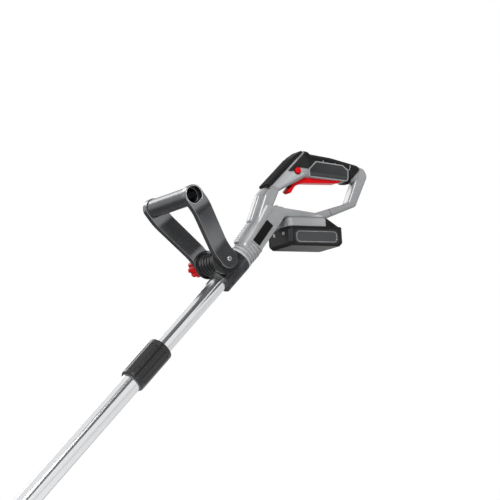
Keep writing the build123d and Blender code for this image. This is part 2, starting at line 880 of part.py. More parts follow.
def hub_disc(y, radius, inner=0):
    return disc(cross_plane(hub_point.X, hub_point.Z, y), radius, inner)


clamp_screw_places = [
    (clamp_start + clamp_length * share, side)
    for share in (0.16, 0.84)
    for side in (-1, 1)
]
clamp_screw_side = tube_radius + 4.2
clamp_split = -3.0

with BuildPart() as clamp_whole:
    extrude(disc(shaft_plane(clamp_start), clamp_radius), amount=clamp_length)
    # Cheeks between the sleeve and the hub
    with BuildSketch(shaft_side_plane):
        with BuildLine():
            FilletPolyline(
                (clamp_start + 4, 0), (clamp_start + clamp_length - 2, 0),
                (clamp_start + clamp_length - 2, hub_lift), (clamp_start + 12, hub_lift),
                radius=(1, 1, 6, 6), close=True,
            )
        make_face()
    extrude(amount=disc_stack_half - 0.4, both=True)
    # Lugs for the clamp screws
    with BuildSketch(shaft_side_plane):
        with Locations((clamp_start + clamp_length / 2, clamp_split)):
            RectangleRounded(clamp_length - 1, 15, 3)
    extrude(amount=clamp_screw_side + clamp_screw_head_radius + 0.6, both=True)
    # Hub: a core with round discs
    extrude(hub_disc(0, hub_core_radius), amount=disc_stack_half, both=True)
    for number in range(hub_disc_count):
        start = -disc_stack_half + number * hub_disc_pitch
        extrude(hub_disc(start, hub_disc_radius), amount=hub_disc_width)
    extrude(
        disc(shaft_plane(clamp_start - 1), tube_radius + running_clearance),
        amount=clamp_length + 2,
        mode=Mode.SUBTRACT,
    )
    extrude(
        hub_disc(0, bolt_radius + running_clearance),
        amount=disc_stack_half + 1,
        both=True,
        mode=Mode.SUBTRACT,
    )

clamp_split_plane = Plane(origin=on_shaft(0, clamp_split), x_dir=shaft_down, z_dir=shaft_lift)


def clamp_screw_face(lift, radius, place):
    distance, side = place
    plane = Plane(
        origin=on_shaft(distance, lift, side * clamp_screw_side),
        x_dir=shaft_down,
        z_dir=shaft_lift,
    )
    return disc(plane, radius)


clamp_screw_seat = clamp_split - 3.6
clamp_screw_length = 9.0
with BuildPart() as clamp_body:
    add(clamp_whole.part)
    split(bisect_by=clamp_split_plane, keep=Keep.TOP)
    for place in clamp_screw_places:
        extrude(
            clamp_screw_face(clamp_split - 1, clamp_screw_radius + running_clearance, place),
            amount=clamp_screw_seat + clamp_screw_length - clamp_split + 1.2, mode=Mode.SUBTRACT,
        )
finish(clamp_body.part, "clamp_body")

with BuildPart() as clamp_cap:
    add(clamp_whole.part)
    split(bisect_by=clamp_split_plane, keep=Keep.BOTTOM)
    for place in clamp_screw_places:
        extrude(
            clamp_screw_face(clamp_split + 1, clamp_screw_radius + running_clearance, place),
            amount=-12, mode=Mode.SUBTRACT,
        )
        extrude(
            clamp_screw_face(clamp_screw_seat, clamp_screw_head_radius + slide_clearance, place),
            amount=-12, mode=Mode.SUBTRACT,
        )
finish(clamp_cap.part, "clamp_cap")

with BuildPart() as clamp_screws:
    for place in clamp_screw_places:
        extrude(clamp_screw_face(clamp_screw_seat, clamp_screw_radius, place), amount=clamp_screw_length)
        extrude(clamp_screw_face(clamp_screw_seat, clamp_screw_head_radius, place), amount=-2.6)
finish(clamp_screws.part, "clamp_screws")

# Ratchet rings fixed to the ends of the hub, flanged where they face the arms
ring_end = hub_half_width - slide_clearance
with BuildPart() as ratchet_rings:
    for side in (-1, 1):
        extrude(hub_disc(side * disc_stack_half, ring_radius), amount=side * (ring_end - disc_stack_half))
        extrude(hub_disc(side * ring_end, ring_flange_radius), amount=-side * ring_flange_width)
    extrude(hub_disc(0, bolt_radius + running_clearance), amount=ring_end + 1, both=True, mode=Mode.SUBTRACT)
finish(ratchet_rings.part, "ratchet_rings")


# Arms: straight on the hub and at the eye, splayed between them
def bail_arm(side):
    inner_hub = arm_hub_offset - arm_thickness / 2
    outer_hub = arm_hub_offset + arm_thickness / 2
    inner_eye = arm_eye_offset - arm_thickness / 2
    outer_eye = arm_eye_offset + arm_thickness / 2
    far_end = bail_reach + eye_radius + 2
    strip_plane = Plane(origin=hub_point, x_dir=bail_run, z_dir=polar(bail_angle + 90) * side)
    hub_cross_plane = cross_plane(hub_point.X, hub_point.Z)
    with BuildPart() as arm:
        with BuildSketch(strip_plane):
            with BuildLine():
                FilletPolyline(
                    (-arm_width, inner_hub), (arm_bend_start, inner_hub), (arm_bend_end, inner_eye),
                    (far_end, inner_eye), (far_end, outer_eye), (arm_bend_end, outer_eye),
                    (arm_bend_start, outer_hub), (-arm_width, outer_hub),
                    radius=(0, 50, 50, 0, 0, 50, 50, 0), close=True,
                )
            make_face()
        extrude(amount=eye_radius + 1, both=True)
        with BuildSketch(hub_cross_plane):
            Circle(arm_width / 2)
            with Locations((eye_point.X - hub_point.X, hub_point.Z - eye_point.Z)):
                Circle(eye_radius)
            make_hull()
        extrude(amount=side * (outer_eye + 1), mode=Mode.INTERSECT)
        # The open end of the grip tube shows in the eye, with a flat towards the arm
        with BuildSketch(Plane(origin=eye_point, x_dir=bail_run, z_dir=(0, 1, 0))):
            Circle(eye_hole_radius)
            with Locations((-eye_hole_radius + 1.0, 0)):
                Rectangle(
                    eye_hole_radius,
                    2 * eye_hole_radius,
                    align=(Align.MAX, Align.CENTER),
                    mode=Mode.SUBTRACT,
                )
        extrude(amount=side * (outer_eye + 1), mode=Mode.SUBTRACT)
        extrude(
            hub_disc(0, bolt_radius + running_clearance),
            amount=side * (outer_hub + 1),
            mode=Mode.SUBTRACT,
        )
    return arm.part


bail_arm_left = bail_arm(-1)
finish(bail_arm_left, "bail_arm_left")
bail_arm_right = bail_arm(1)
finish(bail_arm_right, "bail_arm_right")

with BuildPart() as bail_grip:
    extrude(
        disc(cross_plane(eye_point.X, eye_point.Z), bail_grip_radius, bail_grip_bore),
        amount=arm_eye_offset - arm_thickness / 2, both=True,
    )
finish(bail_grip.part, "bail_grip")

# Through bolt with its head on the left arm, and the knob with its nut on the right arm
arm_outer_y = arm_hub_offset + arm_thickness / 2
knob_start = arm_outer_y + slide_clearance
nut_start = knob_start + 3.0
bolt_end = nut_start + knob_nut_length + 2.0

with BuildPart() as bail_bolt:
    extrude(hub_disc(-arm_outer_y, bolt_radius), amount=arm_outer_y + bolt_end)
    extrude(hub_disc(-arm_outer_y, bolt_head_radius), amount=-bolt_head_height)
    fillet(bail_bolt.faces().sort_by(Axis.Y)[0].edges(), 1.5)
finish(bail_bolt.part, "bail_bolt")

knob_plane = cross_plane(hub_point.X, hub_point.Z, knob_start)
with BuildPart() as clamp_knob:
    with BuildSketch(knob_plane):
        Circle(knob_radius)
        with PolarLocations(knob_radius + 0.8, knob_lobe_count):
            Circle(knob_lobe_radius, mode=Mode.SUBTRACT)
    extrude(amount=knob_length)
    fillet(clamp_knob.faces().sort_by(Axis.Y)[-1].edges(), 1.2)
    extrude(
        hub_disc(knob_start, bolt_radius + running_clearance),
        amount=bolt_end - knob_start + 1,
        mode=Mode.SUBTRACT,
    )
    with BuildSketch(knob_plane.offset(nut_start - knob_start)):
        RegularPolygon(knob_nut_radius + press_clearance, 6)
    extrude(amount=-10, mode=Mode.SUBTRACT)
finish(clamp_knob.part, "clamp_knob")

with BuildPart() as knob_nut:
    with BuildSketch(knob_plane.offset(nut_start - knob_start)):
        RegularPolygon(knob_nut_radius, 6)
        Circle(bolt_radius + running_clearance, mode=Mode.SUBTRACT)
    extrude(amount=knob_start - nut_start)
finish(knob_nut.part, "knob_nut")


# Upper tube, held in the neck, with a guide bush at its lower end
with BuildPart() as upper_tube:
    extrude(
        disc(shaft_plane(-tube_seat_depth), tube_radius, tube_radius - tube_wall),
        amount=tube_seat_depth + tube_length_below_lip,
    )
finish(upper_tube.part, "upper_tube")

lower_tube_inner = tube_radius + lower_tube_gap
lower_tube_outer = lower_tube_inner + lower_tube_wall
lower_tube_end = lower_tube_start + lower_tube_length

with BuildPart() as tube_bush:
    extrude(
        disc(
            shaft_plane(tube_length_below_lip - bush_length),
            lower_tube_inner - running_clearance, tube_radius + press_clearance,
        ),
        amount=bush_length,
    )
finish(tube_bush.part, "tube_bush")

with BuildPart() as lower_tube:
    extrude(disc(shaft_plane(lower_tube_start), lower_tube_outer, lower_tube_inner), amount=lower_tube_length)
finish(lower_tube.part, "lower_tube")

# Twist collar: a ribbed nut on a seat at the top of the lower tube, over a collet
seat_outer = lower_tube_outer + collar_seat_wall
collar_bore = seat_outer + running_clearance
collar_mouth_length = lower_tube_start - collet_length - collar_start

with BuildPart() as collar_seat:
    extrude(
        disc(shaft_plane(lower_tube_start), seat_outer, lower_tube_outer + press_clearance),
        amount=collar_seat_length,
    )
finish(collar_seat.part, "collar_seat")

with BuildPart() as collet_ring:
    extrude(
        disc(
            shaft_plane(lower_tube_start - collet_length),
            seat_outer - slide_clearance,
            tube_radius + running_clearance,
        ),
        amount=collet_length,
    )
finish(collet_ring.part, "collet_ring")

with BuildPart() as collar_nut:
    extrude(disc(shaft_plane(collar_start), collar_radius), amount=collar_length)
    fillet(collar_nut.faces().filter_by(GeomType.PLANE).edges(), 2.5)
    with BuildSketch(shaft_plane(collar_start + 9)):
        with PolarLocations(collar_radius + 1.3, collar_groove_count):
            Circle(collar_groove_radius)
    extrude(amount=collar_length - 16, mode=Mode.SUBTRACT)
    extrude(
        disc(shaft_plane(collar_start), tube_radius + slide_clearance),
        amount=collar_length,
        mode=Mode.SUBTRACT,
    )
    extrude(
        disc(shaft_plane(collar_start + collar_mouth_length), collar_bore),
        amount=collar_length, mode=Mode.SUBTRACT,
    )
finish(collar_nut.part, "collar_nut")

# Curly lead inside the tubes, as the solid that its turns fill
knuckle_plug_length = 32.0
coil_end = lower_tube_end - knuckle_plug_length
with BuildPart() as coiled_lead:
    extrude(disc(shaft_plane(2), coiled_lead_radius), amount=coil_end - 2)
finish(coiled_lead.part, "coiled_lead")

# Head: tilts on a knuckle at the end of the lower tube
tilt_point = on_shaft(tilt_distance)
head_x = tilt_point.X - head_setback
head_axis = Axis((head_x, 0, tilt_point.Z), (0, 0, 1))
ear_inner_y = knuckle_half_width + slide_clearance
ear_outer_y = ear_inner_y + ear_thickness


def head_plane(drop):
    return Plane(origin=(head_x, 0, tilt_point.Z - drop), x_dir=(1, 0, 0), z_dir=(0, 0, -1))


def tilt_disc(y, radius, inner=0):
    return disc(cross_plane(tilt_point.X, tilt_point.Z, y), radius, inner)


def around(angle, radius):
    return (radius * math.cos(math.radians(angle)), radius * math.sin(math.radians(angle)))


knuckle_flange_radius = lower_tube_outer + 2
knuckle_flange_length = 12.0
with BuildPart() as tilt_knuckle:
    extrude(disc(shaft_plane(coil_end), lower_tube_inner - press_clearance), amount=knuckle_plug_length)
    extrude(disc(shaft_plane(lower_tube_end), knuckle_flange_radius), amount=knuckle_flange_length)
    fillet(tilt_knuckle.faces().sort_by(Axis(lip_point, shaft_down))[-1].edges(), 3)
    with BuildSketch(shaft_side_plane):
        with Locations((tilt_distance, 0)):
            Rectangle(
                tilt_distance - lower_tube_end - 4, 2 * knuckle_half_width, align=(Align.MAX, Align.CENTER),
            )
    extrude(amount=knuckle_half_width, both=True)
    extrude(tilt_disc(0, knuckle_radius), amount=knuckle_half_width, both=True)
    extrude(
        tilt_disc(0, tilt_pin_radius + running_clearance),
        amount=knuckle_half_width + 1,
        both=True,
        mode=Mode.SUBTRACT,
    )
finish(tilt_knuckle.part, "tilt_knuckle")

button_recess_y = -ear_outer_y + 5.0
with BuildPart() as tilt_pin:
    extrude(tilt_disc(button_recess_y, tilt_pin_radius), amount=ear_outer_y - button_recess_y)
finish(tilt_pin.part, "tilt_pin")

button_length = 5.0
with BuildPart() as tilt_button:
    extrude(tilt_disc(button_recess_y - tilt_button_travel - 0.2, tilt_button_radius), amount=-button_length)
    fillet(tilt_button.faces().sort_by(Axis.Y)[0].edges(), 1.2)
finish(tilt_button.part, "tilt_button")

# Motor housing in two halves, with ears round the knuckle
motor_plate_top = housing_bottom - 7.0
motor_plate_bottom = motor_plate_top + motor_plate_thickness
housing_inner = housing_radius - housing_wall
groove_depth = 1.2
boss_offset = 28.0
boss_radius = 4.0
boss_drops = (52.0, 86.0)
housing_screw_radius = 1.5
housing_screw_head_radius = 3.0
hoop_lug_radius = 5.5
hoop_lug_y = housing_radius + 8.0


def housing_profile(inset):
    top = housing_top + inset
    with BuildSketch(Plane(origin=(head_x, 0, tilt_point.Z), x_dir=(1, 0, 0), z_dir=(0, -1, 0))) as face:
        with BuildLine():
            FilletPolyline(
                (0, -top), (housing_crown_radius - inset, -top), (housing_radius - 4 - inset, -top - 16),
                (housing_radius - inset, -top - 44),
                (housing_radius - inset, -housing_bottom),
                (0, -housing_bottom),
                radius=(0, 8, 12, 20, 0, 0), close=True,
            )
        make_face()
    return face.sketch


with BuildPart() as housing_whole:
    revolve(housing_profile(0), axis=head_axis)
    for side in (-1, 1):
        with BuildSketch(cross_plane(tilt_point.X, tilt_point.Z, side * ear_inner_y)):
            Circle(ear_radius)
            Rectangle(2 * ear_radius, housing_top + 16, align=(Align.CENTER, Align.MIN))
        extrude(amount=side * ear_thickness)
        extrude(
            disc(cross_plane(head_x, tilt_point.Z - hoop_drop, side * housing_inner), hoop_lug_radius),
            amount=side * (hoop_lug_y - housing_inner),
        )
    revolve(housing_profile(housing_wall), axis=head_axis, mode=Mode.SUBTRACT)
    for drop in boss_drops:
        for side in (-1, 1):
            extrude(
                disc(cross_plane(head_x + side * boss_offset, tilt_point.Z - drop), boss_radius),
                amount=24, both=True,
            )
    # Groove that holds the motor plate
    extrude(
        disc(head_plane(motor_plate_top), housing_inner + groove_depth),
        amount=motor_plate_thickness, mode=Mode.SUBTRACT,
    )
    with BuildSketch(head_plane(58)):
        for middle in (90, 270):
            with PolarLocations(housing_radius, housing_vent_count, middle - 27, 54, endpoint=True):
                Rectangle(12, 2.4)
    extrude(amount=24, mode=Mode.SUBTRACT)
    extrude(
        tilt_disc(0, tilt_pin_radius + press_clearance),
        amount=ear_outer_y + 1,
        both=True,
        mode=Mode.SUBTRACT,
    )
    extrude(tilt_disc(button_recess_y, tilt_button_radius + slide_clearance), amount=-10, mode=Mode.SUBTRACT)
    extrude(
        disc(cross_plane(head_x, tilt_point.Z - hoop_drop), hoop_wire_radius + running_clearance),
        amount=hoop_lug_y + 1, both=True, mode=Mode.SUBTRACT,
    )
    for drop in boss_drops:
        for side in (-1, 1):
            x = head_x + side * boss_offset
            z = tilt_point.Z - drop
            extrude(
                disc(cross_plane(x, z, -16), housing_screw_radius + running_clearance),
                amount=60, mode=Mode.SUBTRACT,
            )
            extrude(
                disc(cross_plane(x, z, 16), housing_screw_head_radius + slide_clearance),
                amount=40, mode=Mode.SUBTRACT,
            )

with BuildPart() as motor_housing_left:
    add(housing_whole.part)
    split(bisect_by=Plane.XZ, keep=Keep.TOP)
finish(motor_housing_left.part, "motor_housing_left")

with BuildPart() as motor_housing_right:
    add(housing_whole.part)
    split(bisect_by=Plane.XZ, keep=Keep.BOTTOM)
finish(motor_housing_right.part, "motor_housing_right")

# Motor on its plate
plate_screw_radius = 1.5
plate_screw_circle = 29.0
guard_bottom = housing_bottom + guard_plate
with BuildPart() as motor_plate:
    extrude(
        disc(
            head_plane(motor_plate_top),
            housing_inner + groove_depth - running_clearance,
            motor_shaft_radius + 2,
        ),
        amount=motor_plate_thickness,
    )
    with BuildSketch(head_plane(motor_plate_bottom)):
        with PolarLocations(plate_screw_circle, 4, 45):
            Circle(4)
    extrude(amount=housing_bottom - motor_plate_bottom)
    with BuildSketch(head_plane(housing_bottom)):
        with PolarLocations(plate_screw_circle, 4, 45):
            Circle(plate_screw_radius + running_clearance)
    extrude(amount=-6, mode=Mode.SUBTRACT)
finish(motor_plate.part, "motor_plate")

with BuildPart() as motor:
    extrude(disc(head_plane(motor_plate_top), motor_radius), amount=-motor_length)
    fillet(motor.faces().sort_by(Axis.Z)[-1].edges(), 3)
    extrude(
        disc(head_plane(motor_plate_top), motor_shaft_radius + running_clearance),
        amount=-motor_length + 5, mode=Mode.SUBTRACT,
    )
finish(motor.part, "motor")

# Guard: a plate under the housing and a skirt round the back
with BuildPart() as guard:
    with BuildSketch(head_plane(housing_bottom)):
        Circle(guard_radius)
        clear_angles = [guard_half_angle + (360 - 2 * guard_half_angle) * step / 4 for step in range(5)]
        Polygon(
            (0, 0),
            *[around(angle, 3 * guard_radius) for angle in clear_angles],
            align=None,
            mode=Mode.SUBTRACT,
        )
        Circle(housing_radius)
        Circle(guard_hole_radius, mode=Mode.SUBTRACT)
    extrude(amount=guard_plate)
    with BuildSketch(head_plane(guard_bottom)):
        Circle(guard_radius)
        Circle(guard_radius - guard_plate, mode=Mode.SUBTRACT)
        Polygon(
            (0, 0),
            *[around(angle, 3 * guard_radius) for angle in clear_angles],
            align=None,
            mode=Mode.SUBTRACT,
        )
    extrude(amount=guard_skirt)
    with BuildSketch(head_plane(guard_bottom)):
        with PolarLocations(plate_screw_circle, 4, 45):
            Circle(plate_screw_radius + running_clearance)
    extrude(amount=-guard_plate, mode=Mode.SUBTRACT)
    with BuildSketch(head_plane(guard_bottom)):
        with PolarLocations(plate_screw_circle, 4, 45):
            Circle(housing_screw_head_radius + slide_clearance)
    extrude(amount=-1.6, mode=Mode.SUBTRACT)
finish(guard.part, "guard")

# Screws of the head: four across the housing, four up through the guard
with BuildPart() as head_screws:
    for drop in boss_drops:
        for side in (-1, 1):
            x = head_x + side * boss_offset
            z = tilt_point.Z - drop
            extrude(disc(cross_plane(x, z, 16), housing_screw_head_radius), amount=2.2)
            extrude(disc(cross_plane(x, z, 16), housing_screw_radius), amount=-31)
    with BuildSketch(head_plane(guard_bottom - 1.6)):
        with PolarLocations(plate_screw_circle, 4, 45):
            Circle(housing_screw_head_radius)
    extrude(amount=2.0)
    with BuildSketch(head_plane(guard_bottom - 1.6)):
        with PolarLocations(plate_screw_circle, 4, 45):
            Circle(plate_screw_radius)
    extrude(amount=-6.5)
finish(head_screws.part, "head_screws")

cutter_thickness = 1.5
cutter_height = 14.0
with BuildPart() as line_cutter:
    with BuildSketch(head_plane(guard_bottom + guard_skirt - cutter_height)):
        Circle(guard_radius - guard_plate)
        Circle(guard_radius - guard_plate - cutter_thickness, mode=Mode.SUBTRACT)
        Polygon((0, 0), around(90, 300), around(guard_half_angle - 1, 300), align=None, mode=Mode.INTERSECT)
    extrude(amount=cutter_height)
finish(line_cutter.part, "line_cutter")

# Line head on the motor shaft
case_top = guard_bottom + spool_case_gap
case_ceiling = case_top + spool_case_wall
case_bottom = case_top + spool_case_height
line_drop = case_ceiling + line_depth_in_case - 2
hub_end = case_bottom - 8.0

with BuildPart() as motor_shaft:
    extrude(
        disc(head_plane(hub_end - 4), motor_shaft_radius),
        amount=-(hub_end - 4 - motor_plate_top + motor_length - 6),
    )
finish(motor_shaft.part, "motor_shaft")

with BuildPart() as drive_hub:
    extrude(disc(head_plane(guard_bottom + 1), drive_hub_flange_radius), amount=spool_case_gap - 1)
    extrude(disc(head_plane(case_top), drive_hub_radius), amount=hub_end - case_top)
    extrude(
        disc(head_plane(0), motor_shaft_radius + press_clearance),
        amount=hub_end - 4 + press_clearance,
        mode=Mode.SUBTRACT,
    )
finish(drive_hub.part, "drive_hub")

line_angles = (25, 205)
with BuildPart() as spool_case:
    extrude(disc(head_plane(case_top), spool_case_radius), amount=spool_case_height)
    fillet(spool_case.faces().sort_by(Axis.Z)[-1].edges(), 4)
    extrude(
        disc(head_plane(case_ceiling), spool_case_radius - spool_case_wall),
        amount=spool_case_height,
        mode=Mode.SUBTRACT,
    )
    extrude(
        disc(head_plane(0), drive_hub_radius + press_clearance),
        amount=case_ceiling + 1,
        mode=Mode.SUBTRACT,
    )
    for angle in line_angles:
        x, y = around(angle, 1)
        radial = Plane(origin=head_plane(line_drop).origin, x_dir=(0, 0, 1), z_dir=(x, -y, 0))
        extrude(
            disc(radial.offset(spool_case_radius - 8), eyelet_radius + press_clearance),
            amount=16, mode=Mode.SUBTRACT,
        )
finish(spool_case.part, "spool_case")

with BuildPart() as line_eyelets:
    for angle in line_angles:
        x, y = around(angle, 1)
        radial = Plane(origin=head_plane(line_drop).origin, x_dir=(0, 0, 1), z_dir=(x, -y, 0))
        extrude(
            disc(
                radial.offset(spool_case_radius - spool_case_wall),
                eyelet_radius,
                line_radius + running_clearance,
            ),
            amount=spool_case_wall + 1,
        )
finish(line_eyelets.part, "line_eyelets")

wound_radius = spool_radius - 4
with BuildPart() as cutting_lines:
    for angle in line_angles:
        x, y = around(angle, 1)
        radial = Plane(origin=head_plane(line_drop).origin, x_dir=(0, 0, 1), z_dir=(x, -y, 0))
        extrude(disc(radial.offset(wound_radius + 0.5), line_radius), amount=line_reach - wound_radius - 0.5)
finish(cutting_lines.part, "cutting_lines")

# Spool with its winding, and the bump cap that carries it
spool_top = case_ceiling + bump_travel + 1.0
spool_bottom = spool_top + 2 * spool_flange + spool_inner_height
spool_bore = drive_hub_radius + 0.4
with BuildPart() as spool:
    extrude(disc(head_plane(spool_top), spool_core_radius, spool_bore), amount=spool_bottom - spool_top)
    for drop in (spool_top, spool_bottom - spool_flange):
        extrude(disc(head_plane(drop), spool_radius, spool_bore), amount=spool_flange)
finish(spool.part, "spool")

with BuildPart() as wound_line:
    extrude(
        disc(head_plane(spool_top + spool_flange), wound_radius, spool_core_radius),
        amount=spool_inner_height,
    )
finish(wound_line.part, "wound_line")

bump_flange = 2.6
with BuildPart() as bump_cap:
    extrude(disc(head_plane(spool_bottom), bump_cap_radius), amount=bump_flange)
    extrude(disc(head_plane(spool_bottom + bump_flange), bump_knob_radius), amount=bump_knob_height)
    fillet(bump_cap.faces().sort_by(Axis.Z)[0].edges(), 5)
finish(bump_cap.part, "bump_cap")

with BuildPart() as bump_spring:
    extrude(
        disc(head_plane(case_ceiling), drive_hub_radius + 4, drive_hub_radius + 1),
        amount=spool_top - case_ceiling,
    )
finish(bump_spring.part, "bump_spring")

# Wire hoop that keeps the line off plants, hinged in the housing's lugs
hoop_points = (
    (0, housing_radius + 2), (0, housing_radius + 18), (-55, hoop_half_width), (-hoop_reach, 60),
    (-hoop_reach, -60), (-55, -hoop_half_width), (0, -housing_radius - 18), (0, -housing_radius - 2),
)
hoop_plane = Plane(origin=(head_x, 0, tilt_point.Z - hoop_drop), x_dir=(1, 0, 0), z_dir=(0, 0, 1))
with BuildPart() as edge_hoop:
    with BuildLine(hoop_plane) as hoop_route:
        FilletPolyline(*hoop_points, radius=(6, 30, 25, 25, 30, 6))
    with BuildSketch(Plane(origin=hoop_route.line @ 0, z_dir=hoop_route.line % 0)):
        Circle(hoop_wire_radius)
    sweep(path=hoop_route.line)
finish(edge_hoop.part, "edge_hoop")
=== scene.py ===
import json
import math

import bmesh
import bpy
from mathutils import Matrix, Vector
from mathutils.bvhtree import BVHTree


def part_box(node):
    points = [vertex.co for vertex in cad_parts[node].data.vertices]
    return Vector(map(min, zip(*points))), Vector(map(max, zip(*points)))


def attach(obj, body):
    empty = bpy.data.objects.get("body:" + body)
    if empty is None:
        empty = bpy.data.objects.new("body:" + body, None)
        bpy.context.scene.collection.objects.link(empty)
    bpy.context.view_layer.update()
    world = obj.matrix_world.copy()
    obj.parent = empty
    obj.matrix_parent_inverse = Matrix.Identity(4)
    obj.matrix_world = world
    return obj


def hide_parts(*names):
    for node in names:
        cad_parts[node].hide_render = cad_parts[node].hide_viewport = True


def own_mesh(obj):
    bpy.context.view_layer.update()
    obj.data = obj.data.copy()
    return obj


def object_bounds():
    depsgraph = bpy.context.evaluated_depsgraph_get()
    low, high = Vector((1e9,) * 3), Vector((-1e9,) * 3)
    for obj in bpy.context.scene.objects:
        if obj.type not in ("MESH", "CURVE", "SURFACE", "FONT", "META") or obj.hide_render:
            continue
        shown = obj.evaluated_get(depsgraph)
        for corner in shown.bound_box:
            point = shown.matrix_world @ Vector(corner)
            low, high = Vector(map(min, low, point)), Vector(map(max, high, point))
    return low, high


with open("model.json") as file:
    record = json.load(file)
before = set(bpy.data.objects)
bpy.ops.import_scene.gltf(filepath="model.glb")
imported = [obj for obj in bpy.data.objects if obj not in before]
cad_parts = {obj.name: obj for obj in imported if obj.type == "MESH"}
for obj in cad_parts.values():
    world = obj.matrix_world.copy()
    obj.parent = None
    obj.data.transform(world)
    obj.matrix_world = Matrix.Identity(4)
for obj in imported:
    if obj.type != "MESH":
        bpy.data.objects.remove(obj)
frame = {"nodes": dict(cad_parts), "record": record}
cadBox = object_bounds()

mm = 0.001
solidCrease, beadCrease = 32, 50  # sharpest angle that is still shaded smooth, in degrees
mergeGap = 1e-5  # metres
ribSides = 10
beadResolution = 2
castFrom = 0.3  # metres from the middle plane, outside the whole tool
acrossY = Vector((0, 1, 0))
nodes = frame["nodes"]
bodyOf = {name: body for body, names in frame["record"]["behaviour"]["bodies"].items() for name in names}
slotOf = {entry["node"]: entry["material_slot"] for entry in frame["record"]["subparts"]}
print("frame loaded:", len(nodes), "nodes")


# sRGB hex text to linear colour
def linear(hexText):
    shares = [int(hexText[i:i + 2], 16) / 255 for i in (1, 3, 5)]
    return tuple(s / 12.92 if s <= 0.04045 else ((s + 0.055) / 1.055) ** 2.4 for s in shares) + (1.0,)


# Adds a node, sets its properties and sockets, and links sockets from (node, output) pairs
def addNode(tree, kind, props=None, values=None, links=None):
    node = tree.nodes.new(kind)
    for name, value in (props or {}).items():
        setattr(node, name, value)
    for socket, value in (values or {}).items():
        node.inputs[socket].default_value = value
    for socket, (source, output) in (links or {}).items():
        tree.links.new(source.outputs[output], node.inputs[socket])
    return node


def newMaterial(name, colour, roughness, metallic=0.0, **sockets):
    material = bpy.data.materials.new(name)
    material.use_nodes = True
    tree = material.node_tree
    shader = tree.nodes["Principled BSDF"]
    shader.inputs["Base Color"].default_value = linear(colour)
    shader.inputs["Roughness"].default_value = roughness
    shader.inputs["Metallic"].default_value = metallic
    for socket, value in sockets.items():
        shader.inputs[socket.replace("_", " ")].default_value = value
    return material, tree, shader


# Grain bump and slow colour drift, both on Object coordinates, with sizes in millimetres.
# Edges that stand out are a little paler: partly wear, as on moulded and handled edges, and partly a painted highlight
# along ridge edges.
grainSet = {"driftDetail": 3.0, "grainDetail": 2.0, "drift": (0.35, 0.65), "edge": (0.52, 0.62), "edgeShare": 0.55,
            "bump": 0.6}


def weather(tree, shader, colours, driftSize, grainSize, grainDepth, roughRange, wearAndSheen=None, stretch=(1, 1, 1)):
    g = grainSet
    place = addNode(tree, "ShaderNodeTexCoord")
    mapped = addNode(tree, "ShaderNodeMapping", values={"Scale": stretch}, links={"Vector": (place, "Object")})
    drift = addNode(tree, "ShaderNodeTexNoise", values={"Scale": 1 / (driftSize * mm), "Detail": g["driftDetail"]},
                    links={"Vector": (place, "Object")})
    grain = addNode(tree, "ShaderNodeTexNoise", values={"Scale": 1 / (grainSize * mm), "Detail": g["grainDetail"]},
                    links={"Vector": (mapped, "Vector")})
    ramp = addNode(tree, "ShaderNodeValToRGB", links={"Fac": (drift, "Fac")})
    for element, position, tone in zip(ramp.color_ramp.elements, g["drift"], colours):
        element.position = position
        element.color = linear(tone)
    colour = (ramp, "Color")
    if wearAndSheen:
        edge = addNode(tree, "ShaderNodeNewGeometry")
        low, high = g["edge"]
        rim = addNode(tree, "ShaderNodeMapRange", values={"From Min": low, "From Max": high, "To Max": g["edgeShare"]},
                      links={"Value": (edge, "Pointiness")})
        wearAndSheenMix = addNode(tree, "ShaderNodeMixRGB", values={"Color2": linear(wearAndSheen)},
                       links={"Fac": (rim, "Result"), "Color1": colour})
        colour = (wearAndSheenMix, "Color")
    tree.links.new(colour[0].outputs[colour[1]], shader.inputs["Base Color"])
    rough = addNode(tree, "ShaderNodeMapRange", values={"To Min": roughRange[0], "To Max": roughRange[1]},
                    links={"Value": (grain, "Fac")})
    tree.links.new(rough.outputs["Result"], shader.inputs["Roughness"])
    bump = addNode(tree, "ShaderNodeBump", values={"Distance": grainDepth * mm, "Strength": g["bump"]},
                   links={"Height": (grain, "Fac")})
    tree.links.new(bump.outputs["Normal"], shader.inputs["Normal"])


# ABS with silver pigment, spark-eroded mould: an even silver grey with a soft sheen
def silverAbs():
    material, tree, shader = newMaterial("silver pigmented ABS", "#959698", 0.38, 0.3, Specular_IOR_Level=0.45)
    weather(tree, shader, ("#8e8f91", "#9b9c9e"), 45, 0.9, 0.02, (0.31, 0.41), "#d8d9db")
    return material


# Black TPE overmould: matt, soft, with a fine leathery grain
def blackRubber():
    material, tree, shader = newMaterial("black TPE overmould", "#0d0d0d", 0.6, Specular_IOR_Level=0.14)
    weather(tree, shader, ("#0a0a0a", "#121212"), 22, 1.3, 0.1, (0.5, 0.68), "#2e2e2e")
    return material


# Grey TPE overmould on the side pads
def greyRubber():
    material, tree, shader = newMaterial("grey TPE overmould", "#2c2d2e", 0.6, Specular_IOR_Level=0.2)
    weather(tree, shader, ("#28292a", "#313233"), 24, 1.2, 0.08, (0.52, 0.66), "#4c4d4e")
    return material


# Red ABS from a polished mould: strong colour under a clear highlight
def redAbs():
    material, tree, shader = newMaterial("red ABS", "#de000d", 0.28, Specular_IOR_Level=0.14)
    weather(tree, shader, ("#d8000b", "#e50511"), 25, 1.4, 0.012, (0.24, 0.34), "#ec3038")
    return material


# Glass-filled nylon of the battery case: charcoal with a visible grain
def packNylon():
    material, tree, shader = newMaterial("charcoal glass-filled nylon", "#0b0b0c", 0.38, Specular_IOR_Level=0.16)
    weather(tree, shader, ("#090909", "#0e0e0f"), 35, 0.9, 0.03, (0.32, 0.45), "#4a4b4d")
    return material


# Satin polycarbonate film on the sides of the pack, bare
def plateFilm():
    material, tree, shader = newMaterial("grey polycarbonate film", "#222324", 0.34, Specular_IOR_Level=0.25)
    weather(tree, shader, ("#1f2021", "#272829"), 60, 0.8, 0.01, (0.3, 0.4), "#5c5d5f")
    return material


